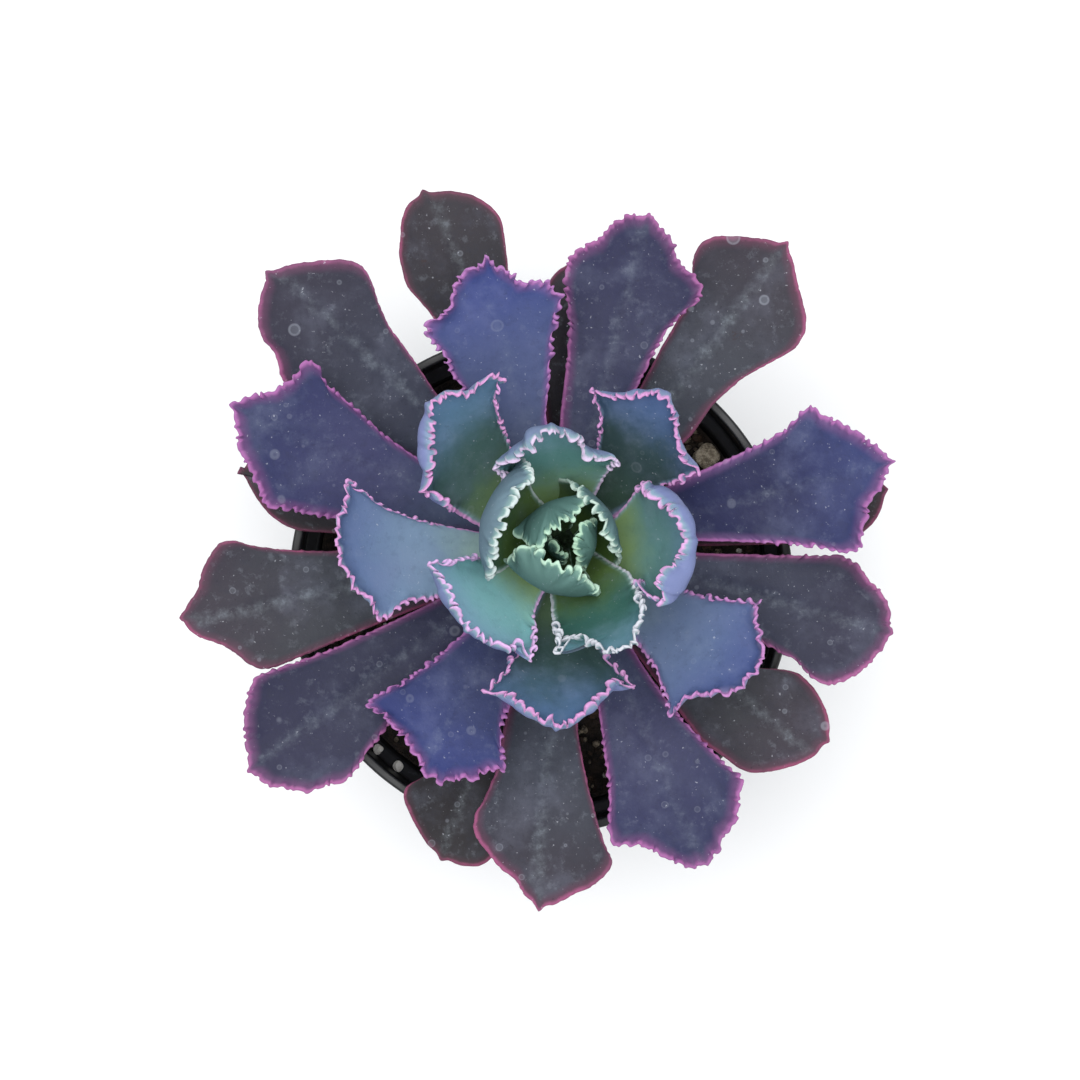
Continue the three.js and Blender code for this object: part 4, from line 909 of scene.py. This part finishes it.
# %% Pot
BAND_RADIUS = RIM_RADIUS - 1.2 * MM  # the band under the lip
LIP_DEPTH = 2.6 * MM
LEDGE_Z = RIM_Z - 15 * MM
BODY_TOP = BAND_RADIUS - 3.4 * MM  # radius of the tapered body under the ledge
FOOT_RADIUS = BODY_TOP - 13 * MM
WALL = 1.3 * MM
EDGE_ROUNDING = 0.8 * MM
HOLE_RADIUS = 4 * MM
HOLE_COUNT = 8


def pot_floor(lift):
    """The line of the pot's floor from the axis outwards: pad, drainage channel, foot ring."""
    places = [(0, 0), (15, 0), (17.5, 2.5), (FOOT_RADIUS / MM - 11.5, 2.5), (FOOT_RADIUS / MM - 9, 0)]
    return [(r * MM, z * MM + lift) for r, z in places]


outside = pot_floor(0) + [
    (FOOT_RADIUS, 0),
    (BODY_TOP, LEDGE_Z - 1.6 * MM),
    (BAND_RADIUS - 0.4 * MM, LEDGE_Z),
    (BAND_RADIUS, LEDGE_Z + 2 * MM),
    (BAND_RADIUS, RIM_Z - LIP_DEPTH),
    (RIM_RADIUS, RIM_Z - LIP_DEPTH),
    (RIM_RADIUS, RIM_Z),
    (BAND_RADIUS - WALL, RIM_Z),
]
inside = [(BAND_RADIUS - WALL, LEDGE_Z + WALL), (BODY_TOP - WALL, LEDGE_Z + 0.4 * MM),
          (FOOT_RADIUS - WALL + 0.2 * MM, WALL)] + pot_floor(WALL)[::-1]
line = rounded(outside + inside, EDGE_ROUNDING)
points, faces = turned(line, 200)
pot = add_piece("moulded_pot", points, faces, ["pot"])
cutters = []
middle = (15 * MM + FOOT_RADIUS - 9 * MM) / 2  # the middle of the drainage channel
for turn in np.arange(HOLE_COUNT) * 2 * math.pi / HOLE_COUNT:
    place = (middle * math.cos(turn), middle * math.sin(turn), 2 * MM)
    bpy.ops.mesh.primitive_cylinder_add(vertices=40, radius=HOLE_RADIUS, depth=12 * MM, location=place)
    cutters.append(bpy.context.object)
for cutter in cutters:
    cut = pot.modifiers.new("drain_hole", "BOOLEAN")
    cut.object = cutter
    cut.solver = "EXACT"
depsgraph = bpy.context.evaluated_depsgraph_get()
with_holes = bpy.data.meshes.new_from_object(pot.evaluated_get(depsgraph))
pot.modifiers.clear()
pot.data = with_holes
for cutter in cutters:
    bpy.data.objects.remove(cutter, do_unlink=True)
with_holes.set_sharp_from_angle(angle=math.radians(50))
print("pot faces", len(with_holes.polygons))

# %% [markdown]
# ## The pot's finish
# Black polypropylene is not quite black: moulding leaves a fine grain, handling leaves scuffs, and dust and
# dried soil water leave grey films. So a dark grey is broken by two sizes of noise: the broad one also
# changes the roughness, and the fine one also gives the grain its bump.

# %% Pot finish
plastic, tree, shader = new_finish("black_moulded_polypropylene")
spot = (add(tree, "ShaderNodeTexCoord"), "Object")
broad, fine = {"Scale": 1000 / 14, "Detail": 6.0, "Roughness": 0.7}, {"Scale": 1000 / 1.5, "Detail": 3.0}
film = (add(tree, "ShaderNodeTexNoise", broad, {"Vector": spot}), "Fac")
scuff = (add(tree, "ShaderNodeTexNoise", fine, {"Vector": spot}), "Fac")
colour = mix_colour(tree, "0a0b0e", "1a1c20", ramp(tree, film, 0.40, 0.72))
colour = mix_colour(tree, colour, "4c5156", maths(tree, ramp(tree, scuff, 0.64, 0.76), 0.30))
tree.links.new(colour[0].outputs[colour[1]], shader.inputs["Base Color"])
rough = add(tree, "ShaderNodeMapRange", {"To Min": 0.28, "To Max": 0.55}, {"Value": film})
tree.links.new(rough.outputs[0], shader.inputs["Roughness"])
shader.inputs["IOR"].default_value = 1.49  # polypropylene
grain = add(tree, "ShaderNodeBump", {"Strength": 0.15, "Distance": 0.05 * MM}, {"Height": scuff})
tree.links.new(grain.outputs[0], shader.inputs["Normal"])
with_holes.materials.append(plastic)
print("pot finish", plastic.name)

# %% [markdown]
# ## The potting mix
# The mix is dark peat and bark with pumice and perlite to keep it airy. One closed surface gives the bulk: it
# fills the pot, heaps up a little at the stem, and its top is thrown into lumps. Loose grains are laid on it
# as many small copies of one rough grain of 36 faces, joined into one mesh for each kind.

# %% Soil
SOIL_EDGE_Z = LEDGE_Z - 2.5 * MM
SOIL_GAP = 0.4 * MM  # between the mix and the pot
SOIL_RADIUS = FOOT_RADIUS + (BODY_TOP - FOOT_RADIUS) * SOIL_EDGE_Z / LEDGE_Z - WALL - SOIL_GAP


def soil_height(x, y):
    """Height of the mix at a place: a heap of 4 mm, plus lumps that die out at the wall, all 0.9 mm lower
    inside the wall. A lump is a product of sines at four sizes, turned so that no direction shows."""
    share = np.clip(np.hypot(x, y) / SOIL_RADIUS, 0, 1)
    heap = np.interp(share, [0, 0.6, 1], [4, 2, 0]) * MM
    lumps = 0 * x
    for size, depth, turn in ((9, 0.7, 0.4), (4.1, 0.5, 1.3), (1.9, 0.35, 2.2), (1.0, 0.2, 2.9)):
        u = (x * math.cos(turn) + y * math.sin(turn)) / (size * MM) * 2 * math.pi
        v = (y * math.cos(turn) - x * math.sin(turn)) / (size * MM) * 2 * math.pi
        lumps += depth * MM * np.sin(u + 1.7 * np.sin(0.37 * v)) * np.sin(v + 1.3 * np.sin(0.41 * u + turn))
    return SOIL_EDGE_Z + heap + lumps * (1 - smooth_step(share, 0.94, 1.0)) - 0.9 * MM * (share < 0.999)


def lumpy(radius, height, angle):
    """Raises the top rings to the lumpy height; the wall and the floor stay as they are."""
    top = height >= SOIL_EDGE_Z - 1e-6
    return radius, np.where(top, soil_height(radius * np.cos(angle), radius * np.sin(angle)), height)


TOP_RINGS = 110
soil_line = pot_floor(WALL + SOIL_GAP)
soil_line += [(FOOT_RADIUS - WALL - SOIL_GAP, WALL + SOIL_GAP), (SOIL_RADIUS, SOIL_EDGE_Z - 1 * MM)]
soil_line += [(SOIL_RADIUS * (1 - k / TOP_RINGS), SOIL_EDGE_Z) for k in range(TOP_RINGS)]
soil_line.append((0, SOIL_EDGE_Z + 4 * MM))
points, faces = turned(np.array(soil_line), 260, wobble=lumpy)
soil = add_piece("potting_mix", points, faces, ["soil"])
print("soil top", round(soil_height(np.array(0.0), np.array(0.0)) / MM, 1), "mm")

# %% Loose grains
ring_angle = np.arange(6) * math.pi / 3
grain_rings = [[(math.sin(p) * math.cos(a + 0.5 * k), math.sin(p) * math.sin(a + 0.5 * k), math.cos(p))
                for a in ring_angle] for k, p in enumerate((math.pi / 4, math.pi / 2, 3 * math.pi / 4))]
GRAIN = np.array([(0, 0, 1)] + sum(grain_rings, []) + [(0, 0, -1)])
grain_faces = [(0, 1 + k, 1 + (k + 1) % 6, 1 + (k + 1) % 6) for k in range(6)]
for ring in (1, 7):
    for k in range(6):
        a, b = ring + k, ring + (k + 1) % 6
        grain_faces += [(a, a + 6, b, b), (b, a + 6, b + 6, b + 6)]
grain_faces += [(13 + k, 19, 13 + (k + 1) % 6, 13 + (k + 1) % 6) for k in range(6)]
GRAIN_FACES = np.array(grain_faces)


def scatter(name, count, size, flatness, seed, inner=0.12, outer=0.97):
    """Lays count grains on the mix. A grain is the rough ball stretched to size mm, each corner moved in or
    out by up to a quarter, tipped, turned about the vertical and sunk so that its middle is a little above
    the mix. Places are even over the disc: radius = square root of a random number."""
    dice = np.random.default_rng(seed)
    far = SOIL_RADIUS * np.sqrt(dice.uniform(inner**2, outer**2, count))
    where = dice.uniform(0, 2 * math.pi, count)
    x, y = far * np.cos(where), far * np.sin(where)
    scale = dice.uniform(size[0], size[1], count)[:, None] * MM / 2
    body = GRAIN[None] * dice.uniform(0.75, 1.15, (count, len(GRAIN), 1))
    body = body * np.stack([scale, scale * 0.75, scale * flatness], -1)
    spin = dice.uniform(0, math.pi, count)[:, None]
    tip = dice.uniform(-0.5, 0.5, count)[:, None]
    bx = body[..., 0] * np.cos(tip) - body[..., 2] * np.sin(tip)
    bz = body[..., 0] * np.sin(tip) + body[..., 2] * np.cos(tip)
    px = x[:, None] + bx * np.cos(spin) - body[..., 1] * np.sin(spin)
    py = y[:, None] + bx * np.sin(spin) + body[..., 1] * np.cos(spin)
    pz = (soil_height(x, y) + scale[:, 0] * flatness * 0.35)[:, None] + bz
    points = np.stack([px, py, pz], -1).reshape(-1, 3)
    faces = (GRAIN_FACES[None] + (np.arange(count) * len(GRAIN))[:, None, None]).reshape(-1, 4)
    return add_piece(name, points, faces)


bark = scatter("bark_chips", 900, (1.5, 5.0), 0.35, 3)
pumice_grit = scatter("pumice_grit", 800, (0.8, 2.8), 0.8, 4)
perlite_grit = scatter("perlite_grit", 130, (0.8, 2.2), 0.9, 5)
print("grain corners", sum(len(piece.data.vertices) for piece in (bark, pumice_grit, perlite_grit)))

# %% [markdown]
# ## The stem and the stones
# The short stem is corky where old leaves have dropped, with a ridge for each one. Pumice is volcanic glass
# froth, so its surface is pitted; perlite is the same thing popped like corn, and whiter.


# %% Stem
def corky(radius, height, angle):
    """Ridges that climb round the stem, 1.6 mm apart, and coarse bumps."""
    ridge = np.sin(2 * math.pi * height / (1.6 * MM) + 2 * angle)
    bumps = np.sin(5 * angle + 900 * height) * np.sin(3 * angle - 1700 * height)
    return radius + (0.16 * ridge + 0.22 * bumps) * MM * np.minimum(1, radius / (3 * MM)), height


stem_top = FIRST_LEAF_Z + LEAF_STEP * (len(LEAF_ROWS) - 1)
below = np.linspace(SOIL_EDGE_Z - 10 * MM, FIRST_LEAF_Z, 70)[:-1]
heights = np.concatenate([below, np.linspace(FIRST_LEAF_Z, stem_top, 130)])
flare = np.clip((FIRST_LEAF_Z - heights) / (FIRST_LEAF_Z - SOIL_EDGE_Z), 0, 1) ** 2
stem_line = [(0, heights[0])] + [(stem_radius(z) - 0.35 * MM + 2 * MM * f, z) for z, f in zip(heights, flare)]
stem_line.append((0, stem_top + 0.6 * MM))
points, faces = turned(np.array(stem_line), 90, centre=CROWN, wobble=corky)
stem = add_piece("corky_stem", points, faces, ["stem"])
print("stem", len(faces), "faces")


# %% Stones
def stone(name, node, seed):
    """A stone that fills its node's box: a ball stretched to the box, with swells from sines over its
    surface and pits where a finer pattern of sines peaks."""
    box_low, box_high = (np.array(v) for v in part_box(node))
    steps, sides = 70, 100
    polar = np.linspace(0, math.pi, steps)
    line = np.stack([np.sin(polar), -np.cos(polar)], -1)
    points, faces = turned(line, sides)
    x, y, z = points.T
    swell = 0.10 * np.sin(2.7 * x + seed) * np.sin(3.1 * y - seed) + 0.07 * np.sin(5.3 * z + 4.1 * x + seed)
    pits = np.sin(17 * x + seed + 2 * y) * np.sin(19 * y + 3 * z) * np.sin(18 * z + 2 * x)
    points = points * (0.93 + swell - 0.10 * np.clip(pits - 0.25, 0, 1))[:, None]
    points = (box_low + box_high) / 2 + points * (box_high - box_low) / 2
    return add_piece(name, points, faces, [node])


pumice = stone("pumice_stone", "pumice_1", 1.3)
perlites = [stone(f"perlite_grain_{n}", f"perlite_{n}", seed) for n, seed in ((1, 2.2), (2, 4.7))]
print("stones", 1 + len(perlites), "with", len(pumice.data.vertices), "points each")


# %% Mineral, bark and stem finishes
def earthy_finish(name, dark, light, size, rough, bump, young=None):
    """A matt natural surface: two colours mixed by noise with features size mm wide, and a bump of bump mm.
    young is a height in metres and a colour: a stem is corky below that height and still green above it."""
    material, tree, shader = new_finish(name)
    spot = (add(tree, "ShaderNodeTexCoord"), "Object")
    broad = {"Scale": 1000 / size, "Detail": 5.0, "Roughness": 0.7}
    narrow = {"Scale": 5000 / size, "Detail": 3.0, "Roughness": 0.7}
    coarse = (add(tree, "ShaderNodeTexNoise", broad, {"Vector": spot}), "Fac")
    fine = (add(tree, "ShaderNodeTexNoise", narrow, {"Vector": spot}), "Fac")
    colour = mix_colour(tree, dark, light, ramp(tree, coarse, 0.36, 0.68))
    colour = mix_colour(tree, colour, dark, maths(tree, ramp(tree, fine, 0.5, 0.34), 0.6))
    if young:
        height = (add(tree, "ShaderNodeSeparateXYZ", {}, {"Vector": spot}), "Z")
        colour = mix_colour(tree, colour, young[1], ramp(tree, height, young[0], young[0] + 8 * MM))
    tree.links.new(colour[0].outputs[colour[1]], shader.inputs["Base Color"])
    grain = add(tree, "ShaderNodeBump", {"Strength": 0.8, "Distance": bump * MM}, {"Height": fine})
    tree.links.new(grain.outputs[0], shader.inputs["Normal"])
    shader.inputs["Roughness"].default_value = rough
    shader.inputs["IOR"].default_value = 1.5
    return material


stem_young = (FIRST_LEAF_Z + 16 * MM, "2c4028")
for piece, name, *look in (
    (soil, "damp_peat_mix", "0c0907", "2e231a", 2.5, 0.9, 0.5),
    (bark, "composted_bark", "17100b", "4a3424", 2.0, 0.85, 0.3),
    (pumice_grit, "pumice_grit_dusty", "3c352c", "8a7e6c", 1.6, 0.9, 0.2),
    (perlite_grit, "expanded_perlite_grit", "a8a498", "e4e1d8", 1.0, 0.9, 0.15),
    (stem, "corky_stem_skin", "3a2e22", "8a7860", 3.0, 0.85, 0.4, stem_young),
    (pumice, "pumice_froth_stone", "6e6454", "c9bda6", 1.8, 0.92, 0.3),
    (perlites[0], "expanded_perlite", "dcd9d0", "f6f4ee", 0.9, 0.92, 0.15),
    (perlites[1], "expanded_perlite", "dcd9d0", "f6f4ee", 0.9, 0.92, 0.15),
):
    piece.data.materials.append(earthy_finish(name, *look))
print("earthy finishes added")

# %% [markdown]
# ## The floor, the light and the camera
# A plain pale floor and a broad soft light, as in a product studio. The camera looks straight down on the
# plant from 0.9 m above the rim, so the round pot stays round.

# %% Stage
floor_mesh = bpy.data.meshes.new("floor")
floor_mesh.from_pydata([(-3, -3, 0), (3, -3, 0), (3, 3, 0), (-3, 3, 0)], [], [(0, 1, 2, 3)])
floor = bpy.data.objects.new("floor", floor_mesh)
bpy.context.scene.collection.objects.link(floor)
paper, paper_tree, paper_shader = new_finish("matt_white_paper")
paper_shader.inputs["Base Color"].default_value = linear("f4f4f4")
paper_shader.inputs["Roughness"].default_value = 0.9
floor_mesh.materials.append(paper)

world = bpy.data.worlds.new("studio")
world.use_nodes = True
background = next(n for n in world.node_tree.nodes if n.type == "BACKGROUND")
background.inputs["Color"].default_value = (0.93, 0.96, 1.0, 1.0)
background.inputs["Strength"].default_value = 0.62
bpy.context.scene.world = world


def soft_light(name, place, aim, size, watts):
    """A square area light of the given size in metres, turned to face a point."""
    lamp = bpy.data.lights.new(name, "AREA")
    lamp.shape = "SQUARE"
    lamp.size = size
    lamp.energy = watts
    holder = bpy.data.objects.new(name, lamp)
    heading = np.array(aim, float) - np.array(place, float)
    across = math.atan2(heading[1], heading[0])
    down = math.atan2(math.hypot(heading[0], heading[1]), -heading[2])
    holder.rotation_euler = (down, 0, across - math.pi / 2)
    holder.location = place
    bpy.context.scene.collection.objects.link(holder)


crown_point = (CROWN[0], CROWN[1], RIM_Z)
soft_light("overhead", (-0.20, 0.22, 1.8), crown_point, 1.7, 37)
soft_light("fill", (1.2, -0.8, 1.2), crown_point, 1.2, 7)
print("stage set, lights aimed at", [round(v / MM, 1) for v in crown_point])

# %% Camera
CAMERA_HEIGHT = 0.9  # above the pot's rim
VIEW_WIDTH = 278.6 * MM  # what the frame takes in at the rim
camera_data = bpy.data.cameras.new("camera")
camera_data.sensor_width = 36
camera_data.lens = 36 * CAMERA_HEIGHT / VIEW_WIDTH
camera_data.clip_start = 0.05
camera_data.clip_end = 20
camera = bpy.data.objects.new("camera", camera_data)
camera.location = (-0.26 * MM, 11.1 * MM, RIM_Z + CAMERA_HEIGHT)
bpy.context.scene.collection.objects.link(camera)
bpy.context.scene.camera = camera
bpy.context.scene.view_settings.view_transform = "Standard"
print("camera lens", round(camera_data.lens, 1), "mm")
